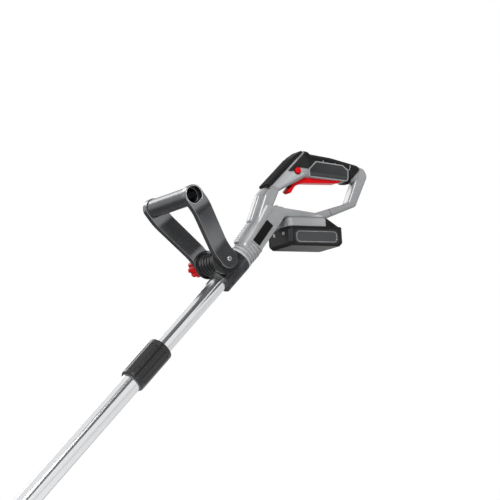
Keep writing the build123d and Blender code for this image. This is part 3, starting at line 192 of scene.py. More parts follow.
# Black anodised plate on the neck, bare
def blackAnodised():
    material, tree, shader = newMaterial("black anodised plate", "#060606", 0.34, Specular_IOR_Level=0.15)
    weather(tree, shader, ("#050505", "#090909"), 20, 1.0, 0.01, (0.3, 0.4), None, (0.2, 1, 1))
    return material


# Charcoal metallic lacquer on the bail: dark face, bright where a lamp is mirrored
def bailLacquer():
    material, tree, shader = newMaterial("charcoal metallic lacquer", "#77787a", 0.24, 0.95)
    weather(tree, shader, ("#727375", "#7c7d7f"), 40, 0.8, 0.001, (0.22, 0.26))
    return material


# The bail's lacquer in a darker copy on the grip tube: painted shade, as the grip lies darker in shade than the arms
def shadedGripLacquer():
    material, tree, shader = newMaterial("bail lacquer darkened for painted shade", "#5e5f61", 0.3, 0.9)
    weather(tree, shader, ("#58595b", "#646567"), 40, 0.8, 0.001, (0.27, 0.33))
    return material


# The same lacquer in a paler copy for the thin rims and lines; on the eye rims of the bail this paleness is a painted
# highlight
def paleRimLacquer():
    material, tree, shader = newMaterial("pale lacquer rim", "#a9aaac", 0.28, 0.7)
    weather(tree, shader, ("#9fa0a2", "#b5b6b8"), 18, 0.8, 0.006, (0.24, 0.36))
    return material


# Black moulded nylon of the clamp, the collar and the spool
def blackNylon():
    material, tree, shader = newMaterial("black moulded nylon", "#111112", 0.28, Specular_IOR_Level=0.5)
    # The pale edge colour #606163 is a painted highlight along the ridge edges of the collar and the clamp.
    weather(tree, shader, ("#0f0f10", "#141415"), 28, 0.9, 0.015, (0.22, 0.32), "#606163")
    return material


# Charcoal polypropylene of the guard and the knuckle
def charcoalPp():
    material, tree, shader = newMaterial("charcoal polypropylene", "#26272a", 0.5, Specular_IOR_Level=0.35)
    weather(tree, shader, ("#222326", "#2c2d30"), 60, 1.2, 0.06, (0.44, 0.58), "#47484b")
    return material


# Drawn and polished aluminium tube, with faint draw lines along it, drawn wide enough to show
drawSet = {"lean": 42.5, "width": 1.5, "stretch": 60, "rough": (0.12, 0.17)}


def polishedTube():
    material, tree, shader = newMaterial("polished drawn aluminium", "#dfe0e2", 0.14, 1.0)
    place = addNode(tree, "ShaderNodeTexCoord")
    turned = addNode(tree, "ShaderNodeMapping", {"vector_type": "TEXTURE"},
                     {"Rotation": (0, math.radians(drawSet["lean"]), 0), "Scale": (1, 1, drawSet["stretch"])},
                     {"Vector": (place, "Object")})
    lines = addNode(tree, "ShaderNodeTexNoise", values={"Scale": 1 / (drawSet["width"] * mm)},
                    links={"Vector": (turned, "Vector")})
    low, high = drawSet["rough"]
    rough = addNode(tree, "ShaderNodeMapRange", values={"To Min": low, "To Max": high}, links={"Value": (lines, "Fac")})
    tree.links.new(rough.outputs["Result"], shader.inputs["Roughness"])
    return material


# Zinc-plated steel of the screws, pins and wire
def zincSteel():
    material, tree, shader = newMaterial("zinc-plated steel", "#b9babb", 0.3, 1.0)
    weather(tree, shader, ("#b2b3b4", "#c2c3c4"), 6, 0.7, 0.006, (0.24, 0.38))
    return material


# Bare brass contacts
def brassContact():
    material, tree, shader = newMaterial("bare brass", "#b08a4a", 0.32, 1.0)
    weather(tree, shader, ("#a88242", "#ba9452"), 4, 0.6, 0.006, (0.26, 0.4))
    return material


# Extruded nylon line
def nylonLine():
    material, tree, shader = newMaterial("extruded nylon line", "#c9691f", 0.38, IOR=1.53)
    weather(tree, shader, ("#c2631a", "#d17226"), 12, 0.8, 0.01, (0.3, 0.45))
    return material


# Shrink wrap round the cells
def cellWrap():
    material, tree, shader = newMaterial("PVC cell wrap", "#2f5d86", 0.3)
    weather(tree, shader, ("#2b587f", "#34648f"), 15, 1.0, 0.01, (0.25, 0.36))
    return material


# PVC jacket of the leads
def leadJacket():
    material, tree, shader = newMaterial("PVC lead jacket", "#1b1b1c", 0.45)
    weather(tree, shader, ("#171718", "#1f1f20"), 15, 1.0, 0.02, (0.4, 0.5))
    return material


finishes = {
    "shell_grey": silverAbs(),
    "grip_black": blackRubber(),
    "grip_grey": greyRubber(),
    "plate_black": blackAnodised(),
    "accent_red": redAbs(),
    "charcoal": charcoalPp(),
    "pack_charcoal": packNylon(),
    "pack_plate": plateFilm(),
    "bail_metallic": bailLacquer(),
    "black_plastic": blackNylon(),
    "tube_bright": polishedTube(),
    "steel": zincSteel(),
    "copper_alloy": brassContact(),
    "cell_wrap": cellWrap(),
    "lead_black": leadJacket(),
    "nylon_line": nylonLine(),
}
paleRimFinish = paleRimLacquer()
shadedGripFinish = shadedGripLacquer()
print("materials:", len(finishes) + 2)


def giveFinish(item, material):
    item.data.materials.clear()
    item.data.materials.append(material)


for name, node in nodes.items():
    giveFinish(node, finishes[slotOf[name]])


# A finished piece: its mesh in place, its material, and the body it moves with
def addPiece(name, mesh, body, slot, material=None, replaces=()):
    piece = bpy.data.objects.new(name, mesh)
    bpy.context.collection.objects.link(piece)
    giveFinish(piece, material or finishes[slot])
    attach(piece, body)
    if replaces:
        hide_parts(*replaces)
    return piece


# The evaluated object as a plain mesh, with the helper object removed
def bakeMesh(item):
    bpy.context.view_layer.update()
    mesh = bpy.data.meshes.new_from_object(item.evaluated_get(bpy.context.evaluated_depsgraph_get()))
    bpy.data.objects.remove(item)
    return mesh


def smoothMesh(mesh, angle=solidCrease):
    mesh.shade_smooth()
    mesh.set_sharp_from_angle(angle=math.radians(angle))
    return mesh


# Copies of CAD nodes with their edges rounded (mm), standing for the nodes
roundSet = {"bail_arm_left": 0.8, "bail_arm_right": 0.8, "clamp_body": 0.9, "clamp_cap": 0.9,
            "battery_tub": 0.8, "battery_lid": 0.7, "battery_dock": 0.7, "guard": 0.6,
            "tilt_knuckle": 1.0, "spool_case": 0.8, "bump_cap": 0.6, "trigger": 0.6, "bail_grip": 0.5,
            "ratchet_rings": 0.5, "clamp_knob": 0.5, "collar_nut": 0.4}
edgeSet = {"flat": 0.6, "corner": 38, "segments": 2}  # angles in degrees


def roundedCopy(name, width):
    work = bmesh.new()
    work.from_mesh(nodes[name].data)
    bmesh.ops.remove_doubles(work, verts=work.verts, dist=mergeGap)
    bmesh.ops.dissolve_limit(work, angle_limit=math.radians(edgeSet["flat"]), verts=work.verts, edges=work.edges)
    mesh = bpy.data.meshes.new(name + "_rounded")
    work.to_mesh(mesh)
    work.free()
    mesh.shade_smooth()
    item = bpy.data.objects.new(name + "_rounded", mesh)
    bpy.context.collection.objects.link(item)
    bevel = item.modifiers.new("edges", "BEVEL")
    bevel.width = width * mm
    bevel.segments = edgeSet["segments"]
    bevel.angle_limit = math.radians(edgeSet["corner"])
    bevel.use_clamp_overlap = True
    item.modifiers.new("normals", "WEIGHTED_NORMAL").keep_sharp = True
    # The grip tube takes the darker copy of the lacquer, which is painted shade.
    finish = shadedGripFinish if name == "bail_grip" else finishes[slotOf[name]]
    return addPiece(name + "Rounded", bakeMesh(item), bodyOf[name], slotOf[name], finish, (name,))


# A round bead along a path: a curve with a round section, made a mesh
def beadMesh(name, path, radius, closed=False):
    curve = bpy.data.curves.new(name, "CURVE")
    curve.dimensions = "3D"
    spline = curve.splines.new("POLY")
    spline.points.add(len(path) - 1)
    for point, place in zip(spline.points, path):
        point.co = (place[0] * mm, place[1] * mm, place[2] * mm, 1)
    spline.use_cyclic_u = closed
    curve.bevel_depth = radius * mm
    curve.bevel_resolution = beadResolution
    curve.use_fill_caps = not closed
    item = bpy.data.objects.new(name, curve)
    bpy.context.collection.objects.link(item)
    return smoothMesh(bakeMesh(item), beadCrease)


# One mesh from several, for pieces that share a body and a finish
def joinMeshes(name, meshes):
    work = bmesh.new()
    for mesh in meshes:
        work.from_mesh(mesh)
    joined = bpy.data.meshes.new(name)
    work.to_mesh(joined)
    work.free()
    return smoothMesh(joined, beadCrease)


# Geometry Nodes: a group with named inputs whose last steps are Realize Instances and Set Material
def newTree(name, inputs):
    tree = bpy.data.node_groups.new(name, "GeometryNodeTree")
    tree.interface.new_socket("Geometry", in_out="INPUT", socket_type="NodeSocketGeometry")
    sockets = {}
    for label, kind, value in inputs:
        socket = tree.interface.new_socket(label, in_out="INPUT", socket_type=kind)
        if value is not None:
            socket.default_value = value
        sockets[label] = socket.identifier
    tree.interface.new_socket("Geometry", in_out="OUTPUT", socket_type="NodeSocketGeometry")
    return tree, addNode(tree, "NodeGroupInput"), sockets


def endTree(tree, source, entry):
    real = addNode(tree, "GeometryNodeRealizeInstances", links={"Geometry": source})
    dressed = addNode(tree, "GeometryNodeSetMaterial", links={"Geometry": (real, 0), "Material": (entry, "Finish")})
    addNode(tree, "NodeGroupOutput", links={"Geometry": (dressed, 0)})


# The host's path, thickened to a round rib
def thickenPath(tree, entry):
    path = addNode(tree, "GeometryNodeMeshToCurve", links={"Mesh": (entry, "Geometry")})
    section = addNode(tree, "GeometryNodeCurvePrimitiveCircle", values={"Resolution": ribSides},
                      links={"Radius": (entry, "Thickness")})
    return addNode(tree, "GeometryNodeCurveToMesh", values={"Fill Caps": True},
                   links={"Curve": (path, 0), "Profile Curve": (section, "Curve")})


# Ribs in a row: the thickened path, repeated by a step
def rowTree():
    tree, entry, sockets = newTree("rib row", (
        ("Count", "NodeSocketInt", 4), ("Step", "NodeSocketVector", None), ("Thickness", "NodeSocketFloat", 0.001),
        ("Finish", "NodeSocketMaterial", None)))
    rib = thickenPath(tree, entry)
    spots = addNode(tree, "GeometryNodeMeshLine", links={"Count": (entry, "Count"), "Offset": (entry, "Step")})
    copies = addNode(tree, "GeometryNodeInstanceOnPoints", links={"Points": (spots, 0), "Instance": (rib, 0)})
    endTree(tree, (copies, 0), entry)
    return tree, sockets


# Ribs round an axis: the thickened path, turned about a centre by an even angle
def roundTree():
    tree, entry, sockets = newTree("rib round", (
        ("Count", "NodeSocketInt", 8), ("Angle", "NodeSocketFloat", 0.5), ("Centre", "NodeSocketVector", None),
        ("Axis", "NodeSocketVector", (0, 0, 1)), ("Thickness", "NodeSocketFloat", 0.001),
        ("Finish", "NodeSocketMaterial", None)))
    back = addNode(tree, "ShaderNodeVectorMath", {"operation": "SCALE"}, {"Scale": -1.0}, {0: (entry, "Centre")})
    rib = thickenPath(tree, entry)
    centred = addNode(tree, "GeometryNodeTransform", links={"Geometry": (rib, 0), "Translation": (back, 0)})
    spots = addNode(tree, "GeometryNodeMeshLine", values={"Offset": (0, 0, 0)}, links={"Count": (entry, "Count")})
    place = addNode(tree, "GeometryNodeSetPosition", links={"Geometry": (spots, 0), "Position": (entry, "Centre")})
    index = addNode(tree, "GeometryNodeInputIndex")
    angle = addNode(tree, "ShaderNodeMath", {"operation": "MULTIPLY"}, links={0: (index, 0), 1: (entry, "Angle")})
    turn = addNode(tree, "FunctionNodeAxisAngleToRotation", links={"Axis": (entry, "Axis"), "Angle": (angle, 0)})
    copies = addNode(tree, "GeometryNodeInstanceOnPoints",
                     links={"Points": (place, 0), "Instance": (centred, 0), "Rotation": (turn, 0)})
    endTree(tree, (copies, 0), entry)
    return tree, sockets


# The same item on each point of the host mesh, turned to the way that the point faces
def spotTree():
    tree, entry, sockets = newTree("spots", (
        ("Item", "NodeSocketObject", None), ("Finish", "NodeSocketMaterial", None)))
    item = addNode(tree, "GeometryNodeObjectInfo", values={"As Instance": True}, links={"Object": (entry, "Item")})
    facing = addNode(tree, "GeometryNodeInputNamedAttribute", {"data_type": "FLOAT_VECTOR"}, {"Name": "facing"})
    turn = addNode(tree, "FunctionNodeAlignRotationToVector", {"axis": "Z"}, links={"Vector": (facing, "Attribute")})
    copies = addNode(tree, "GeometryNodeInstanceOnPoints",
                     links={"Points": (entry, "Geometry"), "Instance": (item, "Geometry"), "Rotation": (turn, 0)})
    endTree(tree, (copies, 0), entry)
    return tree, sockets


ribRow, ribRound, screwSpots = rowTree(), roundTree(), spotTree()


# A mesh of the given points (mm), joined in a line when it is a path
def hostMesh(name, points, joined=True):
    mesh = bpy.data.meshes.new(name)
    links = [(i, i + 1) for i in range(len(points) - 1)] if joined else []
    mesh.from_pydata([tuple(c * mm for c in point) for point in points], links, [])
    return mesh


def runTree(name, host, treeAndSockets, values):
    tree, sockets = treeAndSockets
    item = bpy.data.objects.new(name, host)
    bpy.context.collection.objects.link(item)
    modifier = item.modifiers.new(name, "NODES")
    modifier.node_group = tree
    for label, value in values.items():
        modifier[sockets[label]] = value
    return smoothMesh(bakeMesh(item), beadCrease)


for name, width in roundSet.items():
    roundedCopy(name, width)
print("rounded copies:", len(roundSet))

# The shaft: its direction down, its upper side, and where it leaves the handle (mm)
tubeDown, tubeLift = Vector((-0.6756, 0, -0.7373)), Vector((-0.7373, 0, 0.6756))
tubeHead = Vector((-161, 0, -160))
shaftAxis = tubeDown.normalized()
shaftSide = shaftAxis.cross(acrossY)


def onTube(d, lift, y):
    return tuple(tubeHead + tubeDown * d + tubeLift * lift + Vector((0, y, 0)))


# Reach along the shaft, and distance from its axis, of each point of a CAD node
def shaftReach(name):
    offsets = [v.co / mm - tubeHead for v in nodes[name].data.vertices]
    reach = [o.dot(shaftAxis) for o in offsets]
    return reach, [(o - shaftAxis * r).length for o, r in zip(offsets, reach)]


# A point by its reach along the shaft, its distance from the axis and its angle about it
def aroundShaft(reach, radius, angle):
    way = shaftSide * math.cos(angle) + acrossY * math.sin(angle)
    return tubeHead + shaftAxis * reach + way * radius


# The two tubes again, with enough sides for a clean mirror and with their ends broken
tubeSet = {"sides": 144, "chamfer": 0.4}


def turnedTube(name):
    reach, spread = shaftReach(name)
    start, end, inner, outer = min(reach), max(reach), min(spread), max(spread)
    c, count = tubeSet["chamfer"], tubeSet["sides"]
    profile = [(inner, start + c), (inner + c, start), (outer - c, start), (outer, start + c),
               (outer, end - c), (outer - c, end), (inner + c, end), (inner, end - c)]
    work = bmesh.new()
    rings = []
    for i in range(count):
        angle = 2 * math.pi * i / count
        rings.append([work.verts.new(aroundShaft(d, r, angle) * mm) for r, d in profile])
    for ring, after in zip(rings, rings[1:] + rings[:1]):
        for i in range(len(profile)):
            j = (i + 1) % len(profile)
            work.faces.new((ring[i], ring[j], after[j], after[i]))
    bmesh.ops.recalc_face_normals(work, faces=work.faces)
    mesh = bpy.data.meshes.new(name + "_turned")
    work.to_mesh(mesh)
    work.free()
    addPiece(name + "Turned", smoothMesh(mesh), bodyOf[name], slotOf[name], replaces=(name,))


turnedTube("upper_tube")
turnedTube("lower_tube")


# Curly lead inside the tubes
leadSet = {"cord": 2.2, "pitch": 5.6, "steps": 14}


def jointReach(name):
    joint = next(j for j in frame["record"]["behaviour"]["joints"] if j["name"] == name)
    return max(abs(v) for v in joint["range_m"])


def buildCurlyLead():
    s = leadSet
    reach, spread = shaftReach("coiled_lead")
    radius = max(spread) - s["cord"]
    start, end = min(reach) + s["cord"], max(reach) - s["cord"]
    count = int((end - start) / s["pitch"] * s["steps"])
    path = [tuple(aroundShaft(start + (end - start) * i / count, radius, 2 * math.pi * i / s["steps"]))
            for i in range(count + 1)]
    lead = addPiece("curlyLead", beadMesh("curly_lead", path, s["cord"]), bodyOf["coiled_lead"], "lead_black",
                    replaces=("coiled_lead",))
    1 - jointReach("shaft_telescope") / ((end - start) * mm)
    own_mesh(lead)


buildCurlyLead()


# Where a line along Y meets the given nodes, in millimetres
def sideOf(names, side):
    work = bmesh.new()
    for name in names:
        work.from_mesh(nodes[name].data)
    tree = BVHTree.FromBMesh(work)
    work.free()

    def meet(x, z):
        hit = tree.ray_cast(Vector((x * mm, side * castFrom, z * mm)), Vector((0, -side, 0)))[0]
        return (x, hit.y / mm, z) if hit else None
    return meet


# Even points along a straight line in the X-Z plane
def straightRun(start, end, parts):
    return [(start[0] + (end[0] - start[0]) * i / parts, start[1] + (end[1] - start[1]) * i / parts)
            for i in range(parts + 1)]


# A closed rounded rectangle in the X-Z plane, centred on a point
def roundedLoop(centre, size, radius, steps=6):
    points = []
    for sx, sz, start in ((1, 1, 0), (-1, 1, 90), (-1, -1, 180), (1, -1, 270)):
        for i in range(steps + 1):
            angle = math.radians(start + 90 * i / steps)
            points.append((centre[0] + sx * (size[0] / 2 - radius) + radius * math.cos(angle),
                           centre[1] + sz * (size[1] / 2 - radius) + radius * math.sin(angle)))
    return points


# Front pad: ribs across the slope, so that the hand doesn't slip down
padSet = {"start": (-119.0, -41.0), "along": (0.687, 0.0, 0.726), "out": (-0.726, 0.0, 0.687), "proud": 1.5,
          "flat": 10.7, "corner": 7.0, "wrap": 62, "steps": 6, "ribs": 16, "pitch": 4.2, "first": 7.0,
          "ribRadius": 0.95}


def buildPadRibs():
    s = padSet
    across = [(-s["flat"] - s["corner"] * math.sin(a), s["proud"] - s["corner"] + s["corner"] * math.cos(a))
              for a in (math.radians(s["wrap"] * i / s["steps"]) for i in range(s["steps"], -1, -1))]
    across += [(-y, lift) for y, lift in reversed(across)]
    base = Vector((s["start"][0], 0, s["start"][1])) + Vector(s["along"]) * s["first"]
    path = [tuple(base + Vector(s["out"]) * lift + Vector((0, y, 0))) for y, lift in across]
    mesh = runTree("pad_ribs", hostMesh("pad_path", path), ribRow, {
        "Count": s["ribs"], "Step": Vector(s["along"]) * s["pitch"] * mm, "Thickness": s["ribRadius"] * mm,
        "Finish": finishes["grip_black"]})
    addPiece("padRibs", mesh, "handle", "grip_black")


buildPadRibs()


# Side panel: short silver ticks on the pad's top edge and a slanting line near its rear
tickSet = {"lines": (((-13.6, 9.6), (-13.6, 12.6)), ((9.5, 8.6), (9.5, 11.0)), ((40.3, 11.2), (37.2, 2.6))),
           "radius": 0.55, "parts": 4}


def buildTicks():
    meshes = []
    for side in (-1, 1):
        meet = sideOf(("grip_rubber", "side_grip_pads", "handle_shell_left", "handle_shell_right"), side)
        for start, end in tickSet["lines"]:
            path = [meet(x, z) for x, z in straightRun(start, end, tickSet["parts"])]
            meshes.append(beadMesh("tick", path, tickSet["radius"]))
    addPiece("panelTicks", joinMeshes("panelTicks", meshes), "handle", "shell_grey")


buildTicks()


# Nameplates: a raised silver rim round each bare plate
rimSet = {"along": (0.6756, 0.0, 0.7373), "grow": 0.5, "radius": 0.55, "corner": 1.4}


def buildPlateRims():
    s = rimSet
    along = Vector(s["along"])
    across = Vector((along.z, 0, -along.x))
    meshes = []
    for side in (-1, 1):
        spots = [v.co / mm for v in nodes["nameplates"].data.vertices if v.co.y * side > 0]
        runs = [p.dot(along) for p in spots]
        drops = [p.dot(across) for p in spots]
        centre = ((min(runs) + max(runs)) / 2, (min(drops) + max(drops)) / 2)
        size = (max(runs) - min(runs) + s["grow"], max(drops) - min(drops) + s["grow"])
        meet = sideOf(("handle_shell_left", "handle_shell_right", "nameplates"), side)
        loop = [along * u + across * v for u, v in roundedLoop(centre, size, s["corner"])]
        path = [meet(p.x, p.z) for p in loop]
        meshes.append(beadMesh("plate_rim", path, s["radius"], closed=True))
    addPiece("plateRims", joinMeshes("plateRims", meshes), "handle", "shell_grey")


buildPlateRims()


# Lock-off button: a dark ring in the shell round each end of it, which is painted shade round the button
lockSet = {"gap": 1.0, "radius": 0.7, "steps": 28}


def buildLockShadeRings():
    s = lockSet
    low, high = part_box("lock_button")
    centreX, centreZ = (low[0] + high[0]) / 2 / mm, (low[2] + high[2]) / 2 / mm
    reach = (high[0] - low[0]) / 2 / mm + s["gap"]
    meshes = []
    for side in (-1, 1):
        meet = sideOf(("handle_shell_left", "handle_shell_right", "grip_rubber"), side)
        turns = [2 * math.pi * i / s["steps"] for i in range(s["steps"])]
        path = [meet(centreX + reach * math.cos(a), centreZ + reach * math.sin(a)) for a in turns]
        meshes.append(beadMesh("lock_ring", path, s["radius"], closed=True))
    addPiece("lockRings", joinMeshes("lockRings", meshes), "handle", "grip_black")


buildLockShadeRings()
print("grip details made")


# Battery pack: everything on it leans with the dock
packSet = {"tilt": 4.0, "pivot": (-86.0, -88.0), "frame": ((-40.5, -120.6), (84.0, 22.4), 9.6), "frameRadius": 0.9,
           "line": ((-40.5, -120.8), (75.0, 16.6), 6.3), "lineRadius": 0.45, "corner": (-82.0, 29.5, 7.0),
           "cornerRibs": 4, "cornerStep": 17.0, "cornerFirst": 188.0, "ribRadius": 0.8, "ribSpan": (-109.0, -128.5)}


def leanPoint(x, y, z):
    c = math.cos(math.radians(packSet["tilt"]))
    s = math.sin(math.radians(packSet["tilt"]))
    dx, dz = x - packSet["pivot"][0], z - packSet["pivot"][1]
    return (packSet["pivot"][0] + dx * c - dz * s, y, packSet["pivot"][1] + dx * s + dz * c)


def buildPackDetails():
    s = packSet
    frames, lines = [], []
    for side in (-1, 1):
        meet = sideOf(("battery_tub", "battery_lid", "battery_side_plates"), side)
        for store, part in ((frames, "frame"), (lines, "line")):
            places = [leanPoint(x, 0, z) for x, z in roundedLoop(*s[part])]
            path = [meet(place[0], place[2]) for place in places]
            store.append(beadMesh("loop", path, s[part + "Radius"], closed=True))
    addPiece("packFrames", joinMeshes("packFrames", frames), "battery", "pack_charcoal")
    addPiece("packLines", joinMeshes("packLines", lines), "battery", "pack_plate", paleRimFinish)

    cornerX, cornerY, radius = s["corner"]
    up = Vector((-math.sin(math.radians(s["tilt"])), 0, math.cos(math.radians(s["tilt"]))))
    ribs = []
    for side in (-1, 1):
        first = -side * math.radians(s["cornerFirst"])
        spot = (cornerX + radius * math.cos(first), side * cornerY + radius * math.sin(first))
        path = [leanPoint(spot[0], spot[1], z) for z in s["ribSpan"]]
        ribs.append(runTree("corner_ribs", hostMesh("corner_path", path), ribRound, {
            "Count": s["cornerRibs"], "Angle": math.radians(s["cornerStep"]) * -side,
            "Centre": Vector(leanPoint(cornerX, side * cornerY, s["ribSpan"][0])) * mm, "Axis": up,
            "Thickness": s["ribRadius"] * mm, "Finish": finishes["pack_charcoal"]}))
    addPiece("packCornerRibs", joinMeshes("packCornerRibs", ribs), "battery", "pack_charcoal")


buildPackDetails()


# Latch: ridges for the thumb, across its sloping face
latchSet = {"ridges": 4, "step": 2.6, "half": 8.6, "radius": 0.55, "facing": (0.49965, 0, 0.86623), "castFrom": 0.05}


def buildLatchRidges():
    s = latchSet
    low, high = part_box("battery_latch")
    middle = Vector([(a + b) / 2 for a, b in zip(low, high)])
    outward = Vector(s["facing"])
    along = Vector((outward.z, 0, -outward.x))
    start = middle - along * (s["ridges"] - 1) / 2 * s["step"] * mm
    tree = BVHTree.FromPolygons([v.co for v in nodes["battery_latch"].data.vertices],
                                [p.vertices for p in nodes["battery_latch"].data.polygons])
    hit = tree.ray_cast(middle + outward * s["castFrom"], -outward)[0]
    lift = outward * (hit - middle).dot(outward)
    path = [tuple((start + lift) / mm + Vector((0, y, 0))) for y in (-s["half"], s["half"])]
    mesh = runTree("latch_ridges", hostMesh("latch_path", path), ribRow, {
        "Count": s["ridges"], "Step": along * s["step"] * mm, "Thickness": s["radius"] * mm,
        "Finish": finishes[slotOf["battery_latch"]]})
    addPiece("latchRidges", mesh, bodyOf["battery_latch"], slotOf["battery_latch"])


buildLatchRidges()


# Seams: a dark joint line across the lower bar, and a dark line where the handle stands on the dock, which is painted
# shade in the gap
seamAndShadeSet = {"bar": ((0.6, -65.2), (5.2, -74.4)), "barRadius": 0.4, "dock": (-83.0, -24.0), "dockSide": 19.1,
           "dockTop": -88.0, "dockRadius": 0.6, "parts": 8}


def buildSeamAndShadeLines():
    s = seamAndShadeSet
    meshes = []
    for side in (-1, 1):
        meet = sideOf(("handle_shell_left", "handle_shell_right"), side)
        path = [meet(x, z) for x, z in straightRun(*s["bar"], s["parts"])]
        meshes.append(beadMesh("bar_seam", [p for p in path if p], s["barRadius"]))
        # The dark line along the dock's top is painted shade between the handle and the dock.
        path = [leanPoint(x, side * s["dockSide"], s["dockTop"]) for x in s["dock"]]
        meshes.append(beadMesh("dock_seam", path, s["dockRadius"]))
    addPiece("seamLines", joinMeshes("seamLines", meshes), "handle", "grip_black")


buildSeamAndShadeLines()
print("pack details made")


# Middle of the motor head: its axis in X and the height of the tilt pin, in millimetres
headX, tiltZ = -695.26, -732.13


# Screw heads with a six-lobed recess, on the CAD heads and on the front of the pack
screwSet = {"radius": 2.9, "height": 0.9, "recess": (1.55, 1.1), "depth": 0.6, "shoulder": 0.3, "crown": 0.35,
            "sides": 24, "lobes": 6, "sink": 1.2,
            "handle": ((-104, -50, 15), (-112, -116, 18.5), (-40, -79.6, 19), (45, -54, 11), (64, -3, 11)),
            "clamp": {"reach": (9.66, 44.34), "lift": -9.2, "half": 18.2},
            "head": {"across": 28, "drops": (52, 86), "half": 18.2},
            "pack": {"x": -89.0, "z": -113.0, "half": 14.3}}


def screwItem():
    s = screwSet
    count, top = s["sides"], s["height"]
    wide = [s["radius"]] * count
    crown = [s["radius"] - s["crown"]] * count
    share = count // s["lobes"]
    lobes = [s["recess"][0] if i % share < share / 2 else s["recess"][1] for i in range(count)]
    rings = ((wide, 0), (wide, top - s["shoulder"]), (crown, top), (lobes, top), (lobes, top - s["depth"]))
    turns = [2 * math.pi * i / count for i in range(count)]
    work = bmesh.new()
    loops = [[work.verts.new((r * mm * math.cos(a), r * mm * math.sin(a), z * mm)) for r, a in zip(ring, turns)]
             for ring, z in rings]
    for low, high in zip(loops, loops[1:]):
        for i in range(count):
            work.faces.new((low[i], low[(i + 1) % count], high[(i + 1) % count], high[i]))
    work.faces.new(loops[-1])
    work.faces.new(list(reversed(loops[0])))
    mesh = bpy.data.meshes.new("screw_item")
    work.to_mesh(mesh)
    work.free()
    item = bpy.data.objects.new("screw_item", mesh)
    bpy.context.collection.objects.link(item)
    return item


def buildScrews():
    item = screwItem()
    lean = math.radians(packSet["tilt"])
    packFront = (-math.cos(lean), 0, -math.sin(lean))
    clamp, head, pack = screwSet["clamp"], screwSet["head"], screwSet["pack"]
    groups = {
        "handle_screws": [((x, half - screwSet["sink"], z), (0, 1, 0)) for x, z, half in screwSet["handle"]],
        "clamp_screws": [(onTube(d, clamp["lift"], y), tuple(-tubeLift))
                         for d in clamp["reach"] for y in (-clamp["half"], clamp["half"])],
        "head_screws": [((headX + dx, head["half"], tiltZ - drop), (0, 1, 0))
                        for dx in (-head["across"], head["across"]) for drop in head["drops"]],
        "battery_tub": [(leanPoint(pack["x"], y, pack["z"]), packFront) for y in (-pack["half"], pack["half"])],
    }
    for node, spots in groups.items():
        host = hostMesh(node + "_spots", [place for place, facing in spots], joined=False)
        facing = host.attributes.new("facing", "FLOAT_VECTOR", "POINT")
        for entry, (place, direction) in zip(facing.data, spots):
            entry.vector = direction
        mesh = runTree(node + "_heads", host, screwSpots, {"Item": item, "Finish": finishes["steel"]})
        addPiece(node + "Heads", mesh, bodyOf[node], "steel")
    bpy.data.objects.remove(item)


buildScrews()
print("screws made")


# Bail: a thin bright rim round each eye of the arms, its brightness a painted highlight
eyeSet = {"centre": (-280.94, -78.78), "run": (-0.660, 0.7513), "radius": 14.3, "chord": -12.9, "side": 70.5,
          "bead": 0.7, "steps": 40}


def buildEyeHighlightRims():
    s = eyeSet
    run = Vector((s["run"][0], 0, s["run"][1]))
    cross = Vector((run.z, 0, -run.x))
    edge = math.acos(-s["chord"] / s["radius"])
    meshes = []
    for side in (-1, 1):
        centre = Vector((s["centre"][0], side * s["side"], s["centre"][1]))
        path = []
        for i in range(s["steps"] + 1):
            angle = math.pi + edge + (2 * math.pi - 2 * edge) * i / s["steps"]
            spot = centre + run * s["radius"] * math.cos(angle) + cross * s["radius"] * math.sin(angle)
            path.append(tuple(spot))
        meshes.append(beadMesh("eye_rim", path, s["bead"], closed=True))
    addPiece("eyeRims", joinMeshes("eyeRims", meshes), bodyOf["bail_arm_left"], slotOf["bail_arm_left"], paleRimFinish)


buildEyeHighlightRims()


# Clamp: a small hooked catch on each side of the body
catchSet = {"reach": 32.6, "radius": 3.0, "bead": 0.85, "start": 60, "sweep": 250, "steps": 14}


def buildCatches():
    s = catchSet
    meshes = []
    for side in (-1, 1):
        meet = sideOf(("clamp_body",), side)
        path = []
        for i in range(s["steps"] + 1):
            angle = math.radians(s["start"] + s["sweep"] * i / s["steps"])
            spot = onTube(s["reach"] + s["radius"] * math.cos(angle), s["radius"] * math.sin(angle), 0)
            path.append(meet(spot[0], spot[2]))
        meshes.append(beadMesh("catch", path, s["bead"]))
    addPiece("clampCatches", joinMeshes("clampCatches", meshes), bodyOf["clamp_body"], slotOf["clamp_body"])


buildCatches()


# Head: ribs and rolled lip on the guard, ribs on the spool case and the bump cap
headSet = {"guardTop": 104.0, "guardRibs": 7, "guardSpread": 150.0, "guardReach": (42.0, 126.0), "lip": 130.6,
           "lipSpread": 198.0, "caseRadius": 43.9, "caseSpan": (114.0, 142.0), "caseRibs": 16, "casePhase": 36.25,
           "capRadius": 26.9, "capSpan": (147.5, 155.5), "capRibs": 8, "capPhase": 0.0,
           "guardBead": 1.4, "lipBead": 1.6, "lipSink": 0.4, "lipSteps": 60, "caseBead": 0.9, "capBead": 1.1}


def headPoint(radius, degrees, drop):
    return (headX + radius * math.cos(math.radians(degrees)), radius * math.sin(math.radians(degrees)), tiltZ - drop)


